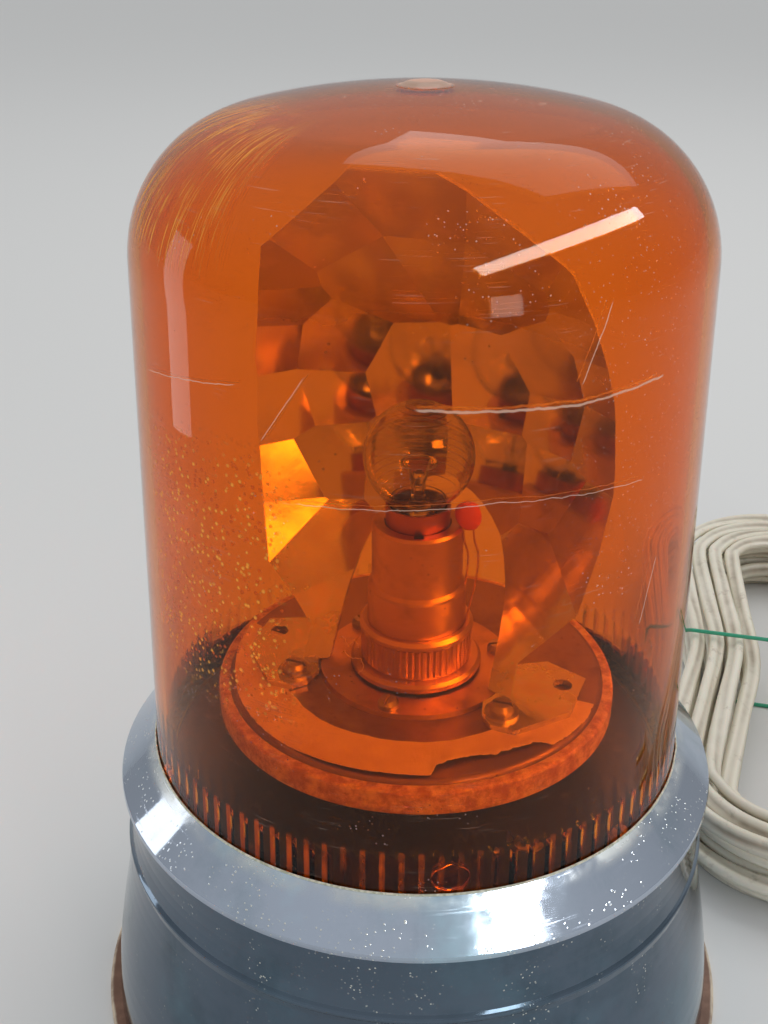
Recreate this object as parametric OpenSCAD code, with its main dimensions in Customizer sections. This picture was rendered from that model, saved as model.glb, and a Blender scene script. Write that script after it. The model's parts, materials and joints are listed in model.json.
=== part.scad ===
// Rotating beacon light: amber dome, chromed base, faceted mirror turning round a fixed lamp.
// Millimetres. The origin is the centre of the mat's underside, +Z is up, and the front is -Y.

/* [Base] */
// Radius of the straight neck under the bezel, which sizes the dome, the skirt and the turntable
neck_r = 78; // [76:0.1:80]
// How far the chromed skirt flares out beyond the neck
skirt_flare = 9.2; // [8.5:0.1:10.5]
// How far the rubber mat stands out beyond the skirt
mat_step = 3.2; // [2:0.1:6]
// Thickness of the mat
mat_t = 2; // [1.5:0.1:4]
// How far the shoulder bead stands out beyond the neck
bead_step = 2; // [1.7:0.1:3]
// Height of the straight neck above the bead
neck_h = 21; // [18:0.5:24]
// Height of the neck's top face above the mat
shell_h = 78; // [74:0.5:90]
// Thickness of the chromed sheet
shell_t = 1.2; // [0.8:0.1:1.6]
// Thickness of the bottom plate
plate_t = 1.5; // [1:0.1:2.5]
// Pitch circle of the three mounting bolts
bolt_pcd = 130; // [124:1:136]
// Diameter of a mounting hole
bolt_hole_d = 6.5; // [5:0.1:8]

/* [Chassis] */
// Thickness of the chassis plate
chassis_t = 1.5; // [1:0.1:2.5]
// How far the three pillars stand inside the chassis plate's edge
pillar_inset = 16.5; // [14:0.5:20]
// Width of a pillar across its flats
pillar_af = 9; // [8:0.5:11]
// Radius of the small screws' threads
screw_r = 2; // [1.5:0.1:2.4]

/* [Spindle and turntable] */
// Radius of the spindle that the turntable turns on
journal_r = 6; // [5:0.1:6.8]
// Radius of the wiring bore through the spindle
wire_bore_r = 3.5; // [2.5:0.1:4]
// Wall of the bronze bush
bush_wall = 2; // [1.5:0.1:2.6]
// Radial clearance of shafts in their bushes
run_gap = 0.05; // [0.02:0.01:0.09]
// Height of the turntable's top face above the chassis plate
disc_lift = 23.5; // [21:0.5:28]
// Gap between the turntable's rim and the dome
disc_gap = 17.5; // [16:0.1:20]
// Thickness of the turntable's sheet
disc_t = 1.6; // [1:0.1:2]
// Depth of the turned-down rim
rim_h = 8; // [6:0.1:9]
// Thickness of the rubber friction ring round the rim
ring_w = 2.8; // [2:0.1:3.4]
// Radius of the hub flange on top of the turntable
hub_flange_r = 26; // [24.5:0.1:28]

/* [Reflector] */
// Height of the lamp's light centre above the turntable's top face
focus_h = 60; // [58:0.5:63]
// Focal length of the mirror
focal = 27.5; // [26.5:0.1:28.5]
// Thickness of the mirror
mirror_t = 1.5; // [1.2:0.1:2]
// How far the mirror's widest part stays inside the turntable's rim
mirror_inset = 2.5; // [1.5:0.1:4]
// Height of the mirror's top edge above the light centre
mirror_up = 74.7; // [72:0.1:76]
// Turn of the mirror as it was photographed, seen from above
parked = -19; // [-30:1:30]

/* [Dome and bezel] */
// How far the dome's foot stands inside the neck
dome_inset = 7.9; // [7.6:0.1:8.6]
// How far the dome's wall leans in from its foot to its shoulder
dome_taper = 3.5; // [2:0.1:5]
// Height of the dome's top above the mirror's top edge
dome_room = 13.9; // [12:0.1:20]
// Thickness of the dome's wall
dome_t = 2.6; // [2:0.1:2.8]
// Radius of the dome's rounded shoulder
dome_corner = 32.5; // [25:0.5:36]
// Radius of the dome's slightly raised crown
crown_r = 180; // [150:1:300]
// How far the bezel's lower edge stands out beyond the neck
bezel_step = 2.2; // [2:0.1:3]
// Thickness of the bezel's sheet
bezel_t = 1.2; // [0.8:0.1:1.4]
// Height of the bezel's sloping face
bezel_slope_h = 9.4; // [9:0.1:9.8]

/* [Lamp] */
// Outer radius of the lampholder's tube
holder_r = 11.8; // [11.3:0.1:12.4]
// Length of the bulb's neck between its cap and its globe
neck_l = 1.12; // [0.5:0.01:3]
// Radius of the knurled collar
collar_r = 15; // [14.5:0.1:16]
// Number of flutes round the collar
collar_flutes = 54; // [40:1:60]
// Radius of the bulb's brass cap
cap_r = 8.3; // [8:0.1:8.4]
// Radius of the bulb's glass globe
globe_r = 14; // [13:0.1:15]
// Travel of the sprung contacts
contact_travel = 2.5; // [1.5:0.1:2.6]

/* [Drive] */
// Radius of the friction roller on the motor's shaft
roller_r = 4.5; // [3.5:0.1:4.8]
// Gap between roller and ring, where the real rubber is squeezed
roller_gap = 0.3; // [0.25:0.05:0.4]
// Where the motor stands round the base, degrees from +X
drive_at = 118; // [110:1:125]
// Radius of the motor's can
motor_r = 13; // [11:0.5:13.5]
// Height of the motor's can
motor_h = 32; // [26:1:40]
// Radius of the motor's shaft
shaft_r = 1.5; // [1.2:0.1:1.8]

/* [Cord] */
// Width of the twin flex
cord_d = 6.4; // [6:0.1:6.4]
// Height of the cable exit above the floor
exit_h = 14; // [13:0.5:18]
// Where the cable exit is round the base, degrees from +X
exit_at = 50; // [45:1:55]
// Half of the length of the hank's straight runs
hank_run = 75; // [70:1:80]
// Outer half width of the hank's loops
hank_w = 42; // [40:0.5:46]
// Gap between one loop of the hank and the next
hank_gap = 0.8; // [0.5:0.1:1.2]
// How far the tie draws the hank's sides in
hank_waist = 8; // [0:0.5:10]
// Whole loops in each of the hank's four layers
layer_loops = 3; // [2:1:3]

/* [Hidden] */
$fn = 96;

// Radii, each from the one that it goes round or into
skirt_r = neck_r + skirt_flare;
mat_r = skirt_r + mat_step;
shoulder_r = neck_r + bead_step;
bezel_r = neck_r + bezel_step;
dome_foot_r = neck_r - dome_inset;
dome_shoulder_r = dome_foot_r - dome_taper;
chassis_r = dome_foot_r - dome_t - 1;
ledge_screw_at_r = chassis_r - 1.7 * screw_r;
ledge_r = ledge_screw_at_r - 1.55 * screw_r;
pillar_at_r = chassis_r - pillar_inset;
disc_r = dome_foot_r - dome_t - disc_gap;
mirror_w = disc_r - mirror_inset;
hank_step = cord_d + hank_gap;

// Heights of the stack, each from the one below it
shell_top = mat_t + shell_h;
bead_z = shell_top - neck_h;
plate_top = mat_t + plate_t;
chassis_top = shell_top + chassis_t;
disc_top = chassis_top + disc_lift;
rim_low = disc_top - rim_h;
seal_t = 1.6;
dome_low = shell_top + seal_t;
focus_z = disc_top + focus_h;
dome_top = focus_z + mirror_up + dome_room;

// Bezel: the sloping face starts at the lip and leans in at bezel_lean
bezel_low = shell_top - 2.4;
lip_h = 1.8;
bezel_hole_r = dome_foot_r + 0.25;
slope_low = bezel_low + lip_h;
slope_top = slope_low + bezel_slope_h;
bezel_lean = (bezel_r - 0.2 - bezel_hole_r) / bezel_slope_h;
bezel_wall = bezel_t * sqrt(1 + bezel_lean * bezel_lean);
fit_gap = 0.2;
skirt_in_r = neck_r + fit_gap;

// Points of an arc, and of a cubic curve between two ends with two handles
function arc(c, r, a0, a1, n) = [for (i = [0:n]) c + r * [cos(a0 + (a1 - a0) * i / n),
  sin(a0 + (a1 - a0) * i / n)]];
function bend(a, b, c, d, n) = [for (i = [0:n]) let (t = i / n, s = 1 - t)
  s * s * s * a + 3 * s * s * t * b + 3 * s * t * t * c + t * t * t * d];
function flip(p) = [for (i = [len(p) - 1:-1:0]) p[i]];
function unit(v) = v / norm(v);

module ring(r_out, r_in, h) {
  difference() {
    cylinder(r = r_out, h = h);
    translate([0, 0, -1]) cylinder(r = r_in, h = h + 2);
  }
}
// Copies round the axis, turned by start
module round_axis(n, start, at_r) {
  for (i = [0:n - 1]) rotate([0, 0, start + 360 * i / n]) translate([at_r, 0, 0]) children();
}
// A pan-head screw that points down, with its head's underside at z = 0
head_h = 1.2 * screw_r;
module screw(length, head_r = 1.6 * screw_r) {
  slot_w = 0.4 * screw_r;
  difference() {
    union() {
      rotate_extrude() polygon([[0, 0], [head_r, 0], [head_r, 0.5 * head_h], [0.75 * head_r, head_h],
        [0, head_h]]);
      translate([0, 0, -length]) cylinder(r = screw_r, h = length + 0.01);
    }
    translate([-head_r - 1, -slot_w / 2, 0.6 * head_h]) cube([2 * head_r + 2, slot_w, head_h]);
  }
}
module nut(af, bore_r, h) {
  difference() {
    cylinder(r = af / sqrt(3), h = h, $fn = 6);
    translate([0, 0, -1]) cylinder(r = bore_r, h = h + 2);
  }
}

// Base

bolt_start = -90;
pillar_start = -62;
ledge_start = -42;
hole_fit = 0.1;

module base_mat() {
  color([0.27, 0.15, 0.10]) difference() {
    rotate_extrude($fn = 144) polygon([[0, 0], [mat_r - 0.5, 0], [mat_r, 0.5], [mat_r, mat_t - 0.5],
      [mat_r - 0.5, mat_t], [0, mat_t]]);
    round_axis(3, bolt_start, bolt_pcd / 2) translate([0, 0, -1]) cylinder(d = bolt_hole_d, h = mat_t + 2);
    round_axis(3, pillar_start, pillar_at_r) translate([0, 0, -1])
      cylinder(r = 2.2 * screw_r, h = mat_t + 2);
  }
}

skirt_in_low = skirt_r - shell_t - 0.5;
module base_plate() {
  rim_t = 1.5;
  plate_r = skirt_in_low - 0.6;
  plate_rim_h = exit_h - gland_neck_r - gland_lip - 0.3 - mat_t;
  color([0.55, 0.56, 0.56]) difference() {
    translate([0, 0, mat_t]) rotate_extrude($fn = 144) polygon([[0, 0], [plate_r, 0],
      [plate_r, plate_rim_h], [plate_r - rim_t, plate_rim_h], [plate_r - rim_t, plate_t], [0, plate_t]]);
    round_axis(3, bolt_start, bolt_pcd / 2) cylinder(d = bolt_hole_d, h = plate_top + 1);
    round_axis(3, pillar_start, pillar_at_r) cylinder(r = screw_r + hole_fit, h = plate_top + 1);
  }
}

// Outline of the skirt: a bell curve up to the bead, the bead, then the neck and its ledge
function shell_line(t) = let (crease = bead_z - 2.5, bead_r = 1.2)
  concat(bend([skirt_r - t, mat_t], [skirt_r - 0.6 - t, mat_t + 0.4 * crease],
      [shoulder_r + 1.2 - t, mat_t + 0.67 * crease], [shoulder_r - 0.5 - t, crease], 12),
    arc([shoulder_r - bead_r - t, bead_z], bead_r, -40, 50, 4),
    bend([shoulder_r - 0.9 - t, bead_z + 1.6], [shoulder_r - 1.3 - t, bead_z + 4],
      [neck_r - t, bead_z + 6], [neck_r - t, bead_z + 12], 4));
module body_shell() {
  color([0.62, 0.66, 0.70]) difference() {
    rotate_extrude($fn = 144) polygon(concat(shell_line(0),
      arc([neck_r - 1.5, shell_top - 1.5], 1.5, 0, 90, 4),
      [[ledge_r, shell_top], [ledge_r, shell_top - shell_t], [neck_r - shell_t, shell_top - shell_t]],
      flip(shell_line(shell_t))));
    rotate([0, 0, exit_at]) translate([0, 0, exit_h]) rotate([0, 90, 0])
      cylinder(r = gland_neck_r + hole_fit, h = mat_r + 5);
    round_axis(3, ledge_start, ledge_screw_at_r) translate([0, 0, shell_top - 3])
      cylinder(r = screw_r + hole_fit, h = 6);
    drive_place() translate([0, 0, shell_top - 3]) cylinder(r = bearing_r + 0.6, h = 6);
  }
}

module pillars() {
  color([0.72, 0.70, 0.62]) round_axis(3, pillar_start, pillar_at_r) difference() {
    translate([0, 0, plate_top]) cylinder(r = pillar_af / sqrt(3), h = shell_top - plate_top, $fn = 6);
    translate([0, 0, plate_top - 1]) cylinder(r = screw_r + hole_fit, h = shell_top - plate_top + 2);
  }
}

pillar_screw_l = 12;
module pillar_screws() {
  color([0.70, 0.68, 0.60]) round_axis(3, pillar_start, pillar_at_r) {
    translate([0, 0, chassis_top]) screw(pillar_screw_l);
    translate([0, 0, mat_t]) mirror([0, 0, 1]) flat_head_screw();
  }
}
// The lower screws have flat heads that stay above the mat's underside
module flat_head_screw() {
  cylinder(r = 1.8 * screw_r, h = mat_t - 0.4);
  translate([0, 0, -pillar_screw_l]) cylinder(r = screw_r, h = pillar_screw_l + 0.01);
}

module chassis_plate() {
  color([0.10, 0.09, 0.09]) difference() {
    translate([0, 0, shell_top]) cylinder(r = chassis_r, h = chassis_t);
    translate([0, 0, shell_top - 1]) cylinder(r = journal_r + hole_fit, h = chassis_t + 2);
    round_axis(3, pillar_start, pillar_at_r) translate([0, 0, shell_top - 1])
      cylinder(r = screw_r + hole_fit, h = chassis_t + 2);
    round_axis(3, ledge_start, ledge_screw_at_r) translate([0, 0, shell_top - 1])
      cylinder(r = screw_r + hole_fit, h = chassis_t + 2);
    drive_place() translate([0, 0, shell_top - 1]) cylinder(r = bearing_r + hole_fit, h = chassis_t + 2);
    rotate([0, 0, drive_at]) for (s = [-1, 1]) translate([bracket_in, s * bracket_screw_y, shell_top - 1])
      cylinder(r = screw_r + hole_fit, h = chassis_t + 2);
  }
}

ledge_screw_l = 7;
module ledge_screws() {
  color([0.66, 0.62, 0.52]) round_axis(3, ledge_start, ledge_screw_at_r) translate([0, 0, chassis_top])
    screw(ledge_screw_l);
}
module ledge_nuts() {
  nut_h = 3;
  color([0.66, 0.62, 0.52]) round_axis(3, ledge_start, ledge_screw_at_r)
    translate([0, 0, shell_top - shell_t - nut_h]) rotate([0, 0, 30])
      nut(3.4 * screw_r, screw_r + hole_fit, nut_h);
}

// Spindle and lampholder, fixed on the chassis plate

spindle_flange_r = 14;
spindle_flange_h = 2.5;
shoulder_top = chassis_top + 6.5;
holder_low = disc_top + 2;
spindle_top = holder_low + 7;
spindle_low = shell_top - 9;
washer_t = 0.8;

module spindle() {
  color([0.60, 0.58, 0.52]) difference() {
    union() {
      translate([0, 0, chassis_top]) cylinder(r = spindle_flange_r, h = spindle_flange_h);
      translate([0, 0, chassis_top]) cylinder(r = journal_r + 3, h = shoulder_top - chassis_top);
      translate([0, 0, spindle_low]) cylinder(r = journal_r, h = holder_low - spindle_low);
      translate([0, 0, spindle_low]) cylinder(r = journal_r - 1, h = spindle_top - spindle_low);
    }
    translate([0, 0, spindle_low - 1]) cylinder(r = wire_bore_r, h = spindle_top - spindle_low + 2);
  }
}
module spindle_washer() {
  color([0.6, 0.6, 0.6]) translate([0, 0, shell_top - washer_t])
    ring(journal_r + 5, journal_r + hole_fit, washer_t);
}
module spindle_nut() {
  nut_h = 5;
  color([0.72, 0.62, 0.35]) translate([0, 0, shell_top - washer_t - nut_h])
    nut(2.83 * journal_r, journal_r + hole_fit, nut_h);
}
module thrust_washer() {
  color([0.75, 0.72, 0.62]) translate([0, 0, shoulder_top])
    ring(journal_r + 3, journal_r + hole_fit, washer_t);
}

// The bulb's globe stands on its neck, the neck in the cap, and the cap in the holder's mouth
neck_glass_r = cap_r - 0.9;
globe_z = focus_z + 1;
cap_top = globe_z - sqrt(globe_r * globe_r - neck_glass_r * neck_glass_r) - neck_l;
holder_mouth = cap_top - 5;
holder_base_r = collar_r + 2.4;
holder_base_h = 2;
collar_low = holder_low + holder_base_h;
collar_h = 11;
tube_step = disc_top + 0.6 * (holder_mouth - disc_top);
socket_r = cap_r + 0.3;
tube_low_r = holder_r + 1.1;

module holder_base() {
  color([0.62, 0.50, 0.28]) translate([0, 0, holder_low]) difference() {
    union() {
      rotate_extrude() polygon([[0, 0], [holder_base_r, 0], [holder_base_r, 1.2],
        [holder_base_r - 0.8, holder_base_h], [0, holder_base_h]]);
      cylinder(r = tube_low_r - 2.2, h = spindle_top - holder_low);
    }
    translate([0, 0, -1]) cylinder(r = journal_r - 1 + hole_fit, h = 20);
  }
}
// Knurled ring: flutes all round its lower two thirds, and a plain rounded rim on top
module holder_collar() {
  flute_h = 0.72 * collar_h;
  flute_r = 0.3 * 2 * PI * collar_r / collar_flutes;
  color([0.68, 0.52, 0.26]) translate([0, 0, collar_low]) difference() {
    union() {
      translate([0, 0, 0.6]) linear_extrude(flute_h) difference() {
        circle(r = collar_r - 0.3);
        round_axis(collar_flutes, 0, collar_r - 0.2) circle(r = flute_r, $fn = 8);
      }
      rotate_extrude() polygon([[0, 0], [collar_r - 0.8, 0], [collar_r - 0.8, flute_h + 0.6],
        [collar_r, flute_h + 1.1], [collar_r, collar_h - 0.9], [collar_r - 0.9, collar_h], [0, collar_h]]);
    }
    translate([0, 0, -1]) cylinder(r = tube_low_r + hole_fit, h = collar_h + 2);
  }
}
// Shell with two inner grooves where the bulb's pins go down and turn
module holder_tube() {
  pin_groove_w = 2.4;
  groove_h = 7.5;
  color([0.66, 0.50, 0.25]) difference() {
    rotate_extrude() polygon([[0, collar_low], [tube_low_r, collar_low], [tube_low_r, tube_step - 0.8],
      [tube_low_r - 0.3, tube_step - 0.2], [holder_r, tube_step + 0.6], [holder_r, holder_mouth - 0.7],
      [holder_r - 0.7, holder_mouth], [0, holder_mouth]]);
    translate([0, 0, spindle_top + 2]) cylinder(r = socket_r, h = holder_mouth - spindle_top);
    translate([0, 0, collar_low - 1]) cylinder(r = tube_low_r - 2.1, h = spindle_top - collar_low + 1.5);
    translate([0, 0, collar_low]) cylinder(r = wire_bore_r, h = 30);
    for (a = [90, 270]) rotate([0, 0, a]) translate([socket_r - 1, 0, 0]) {
      translate([0, -pin_groove_w / 2, holder_mouth - groove_h]) cube([2.6, pin_groove_w, groove_h + 1]);
      translate([0, -pin_groove_w / 2, holder_mouth - groove_h])
        cube([2.6, 2 * pin_groove_w, pin_groove_w]);
    }
  }
}

// Insulator with two stepped holes for the sprung contacts
insulator_low = spindle_top + 2;
insulator_h = 12;
contact_x = 3.6;
contact_pin_r = 1.3;
chamber_r = 2.3;
chamber_floor = 2;
chamber_h = contact_travel + 5.5;
contact_top = insulator_low + insulator_h + contact_travel + 0.9;
plunger_collar_h = 1.2;
plunger_low = insulator_low + chamber_floor + chamber_h - 0.1 - plunger_collar_h;
module contact_insulator() {
  color([0.32, 0.17, 0.10]) difference() {
    translate([0, 0, insulator_low]) cylinder(r = socket_r - 0.15, h = insulator_h);
    for (x = [-contact_x, contact_x]) translate([x, 0, insulator_low]) {
      translate([0, 0, -1]) cylinder(r = 1, h = insulator_h, $fn = 32);
      translate([0, 0, chamber_floor]) cylinder(r = chamber_r, h = chamber_h, $fn = 48);
      cylinder(r = contact_pin_r + run_gap, h = insulator_h + 1, $fn = 48);
    }
  }
}
module contact_plungers() {
  color([0.80, 0.66, 0.34]) for (x = [-contact_x, contact_x]) translate([x, 0, 0]) {
    translate([0, 0, plunger_low]) cylinder(r = chamber_r - 0.2, h = plunger_collar_h, $fn = 48);
    translate([0, 0, plunger_low]) rotate_extrude($fn = 48) polygon([[0, 0], [contact_pin_r, 0],
      [contact_pin_r, contact_top - plunger_low - 0.6], [contact_pin_r - 0.6, contact_top - plunger_low],
      [0, contact_top - plunger_low]]);
  }
}
module contact_springs() {
  spring_turns = 4;
  wire_r = 0.25;
  coil_r = chamber_r - 0.35 - wire_r;
  low = insulator_low + chamber_floor + wire_r;
  high = plunger_low - wire_r;
  steps = 14;
  color([0.7, 0.7, 0.7]) for (x = [-contact_x, contact_x])
    sweep([for (i = [0:spring_turns * steps]) [x + coil_r * cos(360 * i / steps),
      coil_r * sin(360 * i / steps), low + (high - low) * i / (spring_turns * steps)]], wire_r, 6);
}

// Bulb: brass cap with two pins, glass globe on a neck, glass stem, and a filament held on wires

cap_low = contact_top + 1.5;
pin_z = holder_mouth - 6.2;
glass_t = 0.7;
module bulb_cap() {
  color([0.62, 0.42, 0.22]) {
    difference() {
      translate([0, 0, cap_low]) cylinder(r = cap_r, h = cap_top - cap_low);
      translate([0, 0, cap_low + 1.2]) cylinder(r = cap_r - 0.7, h = cap_top - cap_low);
    }
    rotate([0, 0, 90]) translate([0, 0, pin_z]) rotate([0, 90, 0]) difference() {
      translate([0, 0, -cap_r - 1.4]) cylinder(r = 0.95, h = 2 * cap_r + 2.8, $fn = 32);
      translate([0, 0, -cap_r + 0.3]) cylinder(r = 2, h = 2 * cap_r - 0.6, $fn = 32);
    }
    for (x = [-contact_x, contact_x]) translate([x, 0, contact_top + 0.05]) rotate_extrude($fn = 48)
      polygon([[0, 0], [1.2, 0], [1.9, 0.8], [1.9, 1.5], [0, 1.5]]);
  }
}
module bulb_glass() {
  c_out = [0, globe_z];
  low_a = -acos(neck_glass_r / globe_r);
  color([0.92, 0.92, 0.86, 0.35]) rotate_extrude() polygon(concat(
    [[neck_glass_r - glass_t, cap_top - 3], [neck_glass_r, cap_top - 3]],
    arc(c_out, globe_r, low_a, 90, 20),
    flip(arc(c_out, globe_r - glass_t, -acos((neck_glass_r - glass_t) / (globe_r - glass_t)), 90, 20))));
}
module bulb_stem() {
  stem_top = focus_z - 5;
  foot_r = neck_glass_r - glass_t - 0.3;
  color([0.85, 0.88, 0.85, 0.5]) rotate_extrude($fn = 48)
    polygon(concat([[0, cap_top - 2.5], [foot_r, cap_top - 2.5]],
    bend([foot_r, cap_top - 2], [3, cap_top - 1.5], [2, cap_top], [1.8, cap_top + 3], 6),
    [[1.8, stem_top - 1.5]], arc([0, stem_top], 1.9, -45, 90, 6)));
}
// Two lead wires and three supports carry a ring of filament with a gap
module filament() {
  ring_r = 4.4;
  ring_z = focus_z - 1;
  wire = 0.35;
  foot_z = focus_z - 8;
  color([0.75, 0.73, 0.68]) {
    sweep([for (i = [0:20]) [ring_r * cos(-60 + 300 * i / 20), ring_r * sin(-60 + 300 * i / 20), ring_z]],
      wire, 6);
    for (a = [-60, 45, 145, 240]) sweep([[2.1 * cos(a), 2.1 * sin(a), foot_z],
      [2.6 * cos(a), 2.6 * sin(a), foot_z + 3],
      [ring_r * cos(a), ring_r * sin(a), ring_z - 2 * wire]], wire, 6);
  }
}

// Drive: motor under the chassis plate, roller against the ring's outside

drive_r = disc_r + ring_w + roller_gap + roller_r;
bearing_r = 3;
bracket_in = drive_r - 1.5 * motor_r;
bracket_screw_y = 16;
bracket_gap = 3;
bracket_t = 1.5;
motor_top = shell_top - shell_t - bracket_gap;
roller_h = rim_h - 1;
roller_low = rim_low + 0.5;
shaft_top = roller_low + roller_h + 1.5;
module drive_place() {
  rotate([0, 0, drive_at]) translate([drive_r, 0, 0]) children();
}
module motor_can() {
  color([0.58, 0.60, 0.60]) drive_place() translate([0, 0, motor_top - bracket_t - motor_h])
    rotate_extrude() polygon([[0, 0], [motor_r - 1.5, 0], [motor_r, 1.5], [motor_r, motor_h],
      [bearing_r + 0.2, motor_h], [bearing_r + 0.2, motor_h - 3], [shaft_r + 0.3, motor_h - 3],
      [shaft_r + 0.3, 6], [0, 6]]);
}
module motor_cap() {
  color([0.16, 0.16, 0.17]) drive_place() translate([0, 0, motor_top - bracket_t - motor_h - 4])
    difference() {
    cylinder(r = motor_r - 1.8, h = 4);
    for (s = [-1, 1]) translate([0, s * 6, -1]) cylinder(r = 1.2, h = 3, $fn = 32);
  }
}
// Plate under the ledge with two legs that reach up to the chassis plate
module motor_bracket() {
  leg_w = 9;
  color([0.55, 0.56, 0.56]) rotate([0, 0, drive_at]) difference() {
    union() {
      translate([bracket_in - leg_w / 2, -bracket_screw_y - leg_w / 2, motor_top - bracket_t])
        cube([drive_r + motor_r - 3 - bracket_in + leg_w / 2, 2 * bracket_screw_y + leg_w, bracket_t]);
      for (s = [-1, 1]) translate([bracket_in, s * bracket_screw_y, motor_top - bracket_t])
        cylinder(r = leg_w / 2, h = shell_top - motor_top + bracket_t);
    }
    for (s = [-1, 1]) translate([bracket_in, s * bracket_screw_y, motor_top - 5])
      cylinder(r = screw_r + hole_fit, h = 20);
    translate([drive_r, 0, motor_top - 5]) cylinder(r = bearing_r + hole_fit, h = 20);
  }
}
module motor_screws() {
  color([0.66, 0.62, 0.52]) rotate([0, 0, drive_at]) for (s = [-1, 1])
    translate([bracket_in, s * bracket_screw_y, chassis_top])
      screw(chassis_top - motor_top + bracket_t + 1.5);
}
module shaft_bearing() {
  color([0.72, 0.55, 0.30]) drive_place() translate([0, 0, motor_top - bracket_t - 2.8]) difference() {
    union() {
      cylinder(r = bearing_r, h = chassis_top - motor_top + bracket_t + 2.8);
      translate([0, 0, chassis_top - motor_top + bracket_t + 2.8]) cylinder(r = bearing_r + 1.2, h = 1);
    }
    translate([0, 0, -1]) cylinder(r = shaft_r + run_gap, h = 40, $fn = 48);
  }
}
module motor_shaft() {
  color([0.75, 0.75, 0.75]) drive_place() translate([0, 0, motor_top - bracket_t - motor_h + 6.5])
    cylinder(r = shaft_r, h = shaft_top - (motor_top - bracket_t - motor_h + 6.5), $fn = 48);
}
module drive_roller() {
  color([0.14, 0.13, 0.12]) drive_place() translate([0, 0, roller_low]) difference() {
    rotate_extrude() polygon([[0, 0], [roller_r - 0.5, 0], [roller_r, 0.5], [roller_r, roller_h - 0.5],
      [roller_r - 0.5, roller_h], [0, roller_h]]);
    translate([0, 0, -1]) cylinder(r = shaft_r + 0.01, h = roller_h + 2, $fn = 48);
  }
}

// Wiring inside the base

block = [30, 16, 14];
block_at = [-18, -26];
module terminal_block() {
  color([0.86, 0.83, 0.72]) translate([block_at[0], block_at[1], plate_top]) difference() {
    translate([-block[0] / 2, -block[1] / 2, 0]) cube(block);
    for (x = [-7, 7]) {
      translate([x, -block[1] / 2 - 1, 5]) rotate([-90, 0, 0])
        cylinder(r = 2.2, h = block[1] + 2, $fn = 48);
      for (y = [-4, 4]) translate([x, y, 6]) cylinder(r = 2, h = block[2], $fn = 48);
    }
    for (y = [-1, 1]) translate([-1.2, y * block[1] / 2 - 2, 9]) cube([2.4, 4, block[2]]);
  }
}
module terminal_screws() {
  color([0.78, 0.66, 0.36]) for (x = [-7, 7], y = [-4, 4])
    translate([block_at[0] + x, block_at[1] + y, plate_top + 7.4]) difference() {
    cylinder(r = 1.9, h = 4.4, $fn = 32);
    translate([-3, -0.3, 3.6]) cube([6, 0.6, 2]);
  }
}
module capacitor() {
  cap_body_r = 6;
  cap_body_l = 24.8;
  color([0.75, 0.70, 0.30]) translate([26, -34, plate_top + cap_body_r]) rotate([0, 90, 35])
    rotate_extrude() polygon([[0, 0], [cap_body_r - 0.8, 0], [cap_body_r, 0.8],
      [cap_body_r, cap_body_l - 0.8], [cap_body_r - 0.8, cap_body_l], [0, cap_body_l]]);
}

// A tube along a line of points, level with the ground across its width, and closed at both ends
function tangent(p, i) = unit(p[min(i + 1, len(p) - 1)] - p[max(i - 1, 0)]);
function tube_ring(p, i, r, n) = let (t = tangent(p, i),
  side = unit(cross(t, abs(t[2]) > 0.95 ? [0, 1, 0] : [0, 0, 1])), up = cross(side, t))
  [for (k = [0:n - 1]) p[i] + r * cos(360 * (k + 0.5) / n) * side + r * sin(360 * (k + 0.5) / n) * up];
module sweep(p, r, n) {
  rings = len(p);
  points = concat([for (i = [0:rings - 1]) each tube_ring(p, i, r, n)], [p[0], p[rings - 1]]);
  walls = [for (i = [0:rings - 2], k = [0:n - 1]) let (a = i * n + k, b = i * n + (k + 1) % n)
    each [[a, b, b + n], [a, b + n, a + n]]];
  low = [for (k = [0:n - 1]) [rings * n, (k + 1) % n, k]];
  high = [for (k = [0:n - 1]) [rings * n + 1, (rings - 1) * n + k, (rings - 1) * n + (k + 1) % n]];
  polyhedron(points, concat(walls, low, high), convexity = 10);
}
// A smooth line through chosen points, with steps pieces between two of them
function through(p, steps) = let (n = len(p))
  concat([for (i = [0:n - 2], j = [0:steps - 1]) let (a = p[max(i - 1, 0)], b = p[i], c = p[i + 1],
    d = p[min(i + 2, n - 1)], t = j / steps)
    0.5 * (2 * b + (c - a) * t + (2 * a - 5 * b + 4 * c - d) * t * t
      + (3 * b - a - 3 * c + d) * t * t * t)], [p[n - 1]]);

module wiring() {
  z0 = plate_top;
  bx = block_at[0];
  by = block_at[1] + block[1] / 2 + 0.5;
  up_x = [-1.3, 1.3];
  m = [drive_r * cos(drive_at), drive_r * sin(drive_at)];
  color([0.62, 0.13, 0.10]) for (k = [0, 1]) {
    sweep(through([[bx - 7 + 14 * k, by, z0 + 5], [bx - 7 + 14 * k, by + 6, z0 + 7],
      [-8 + 5 * k, -4, z0 + 20], [up_x[k], 0, z0 + 42], [up_x[k], 0, spindle_low],
      [up_x[k], 0, spindle_top - 2]], 4), 1, 6);
    sweep(through([[bx - 4 + 8 * k, by + 1, z0 + 2], [bx - 6 + 8 * k, by + 20, z0 + 3],
      [m[0] + 6 * k - 3, m[1] - 16, z0 + 6], [m[0] + 6 * k - 3, m[1] - 4, z0 + 12],
      [m[0] + 6 * k - 3, m[1], motor_top - bracket_t - motor_h - 4.2]], 4), 0.9, 6);
    sweep(through([flex_end + [-0.6, 1.5 - 3 * k, 0], flex_end + [-4 - 5 * k, 1.5 - 3 * k, 0],
      [bx + 7 - 14 * k, block_low_y - 5 + k, z0 + 5], [bx + 7 - 14 * k, block_low_y + 1, z0 + 5]], 4),
      1, 6);
  }
}

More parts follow.
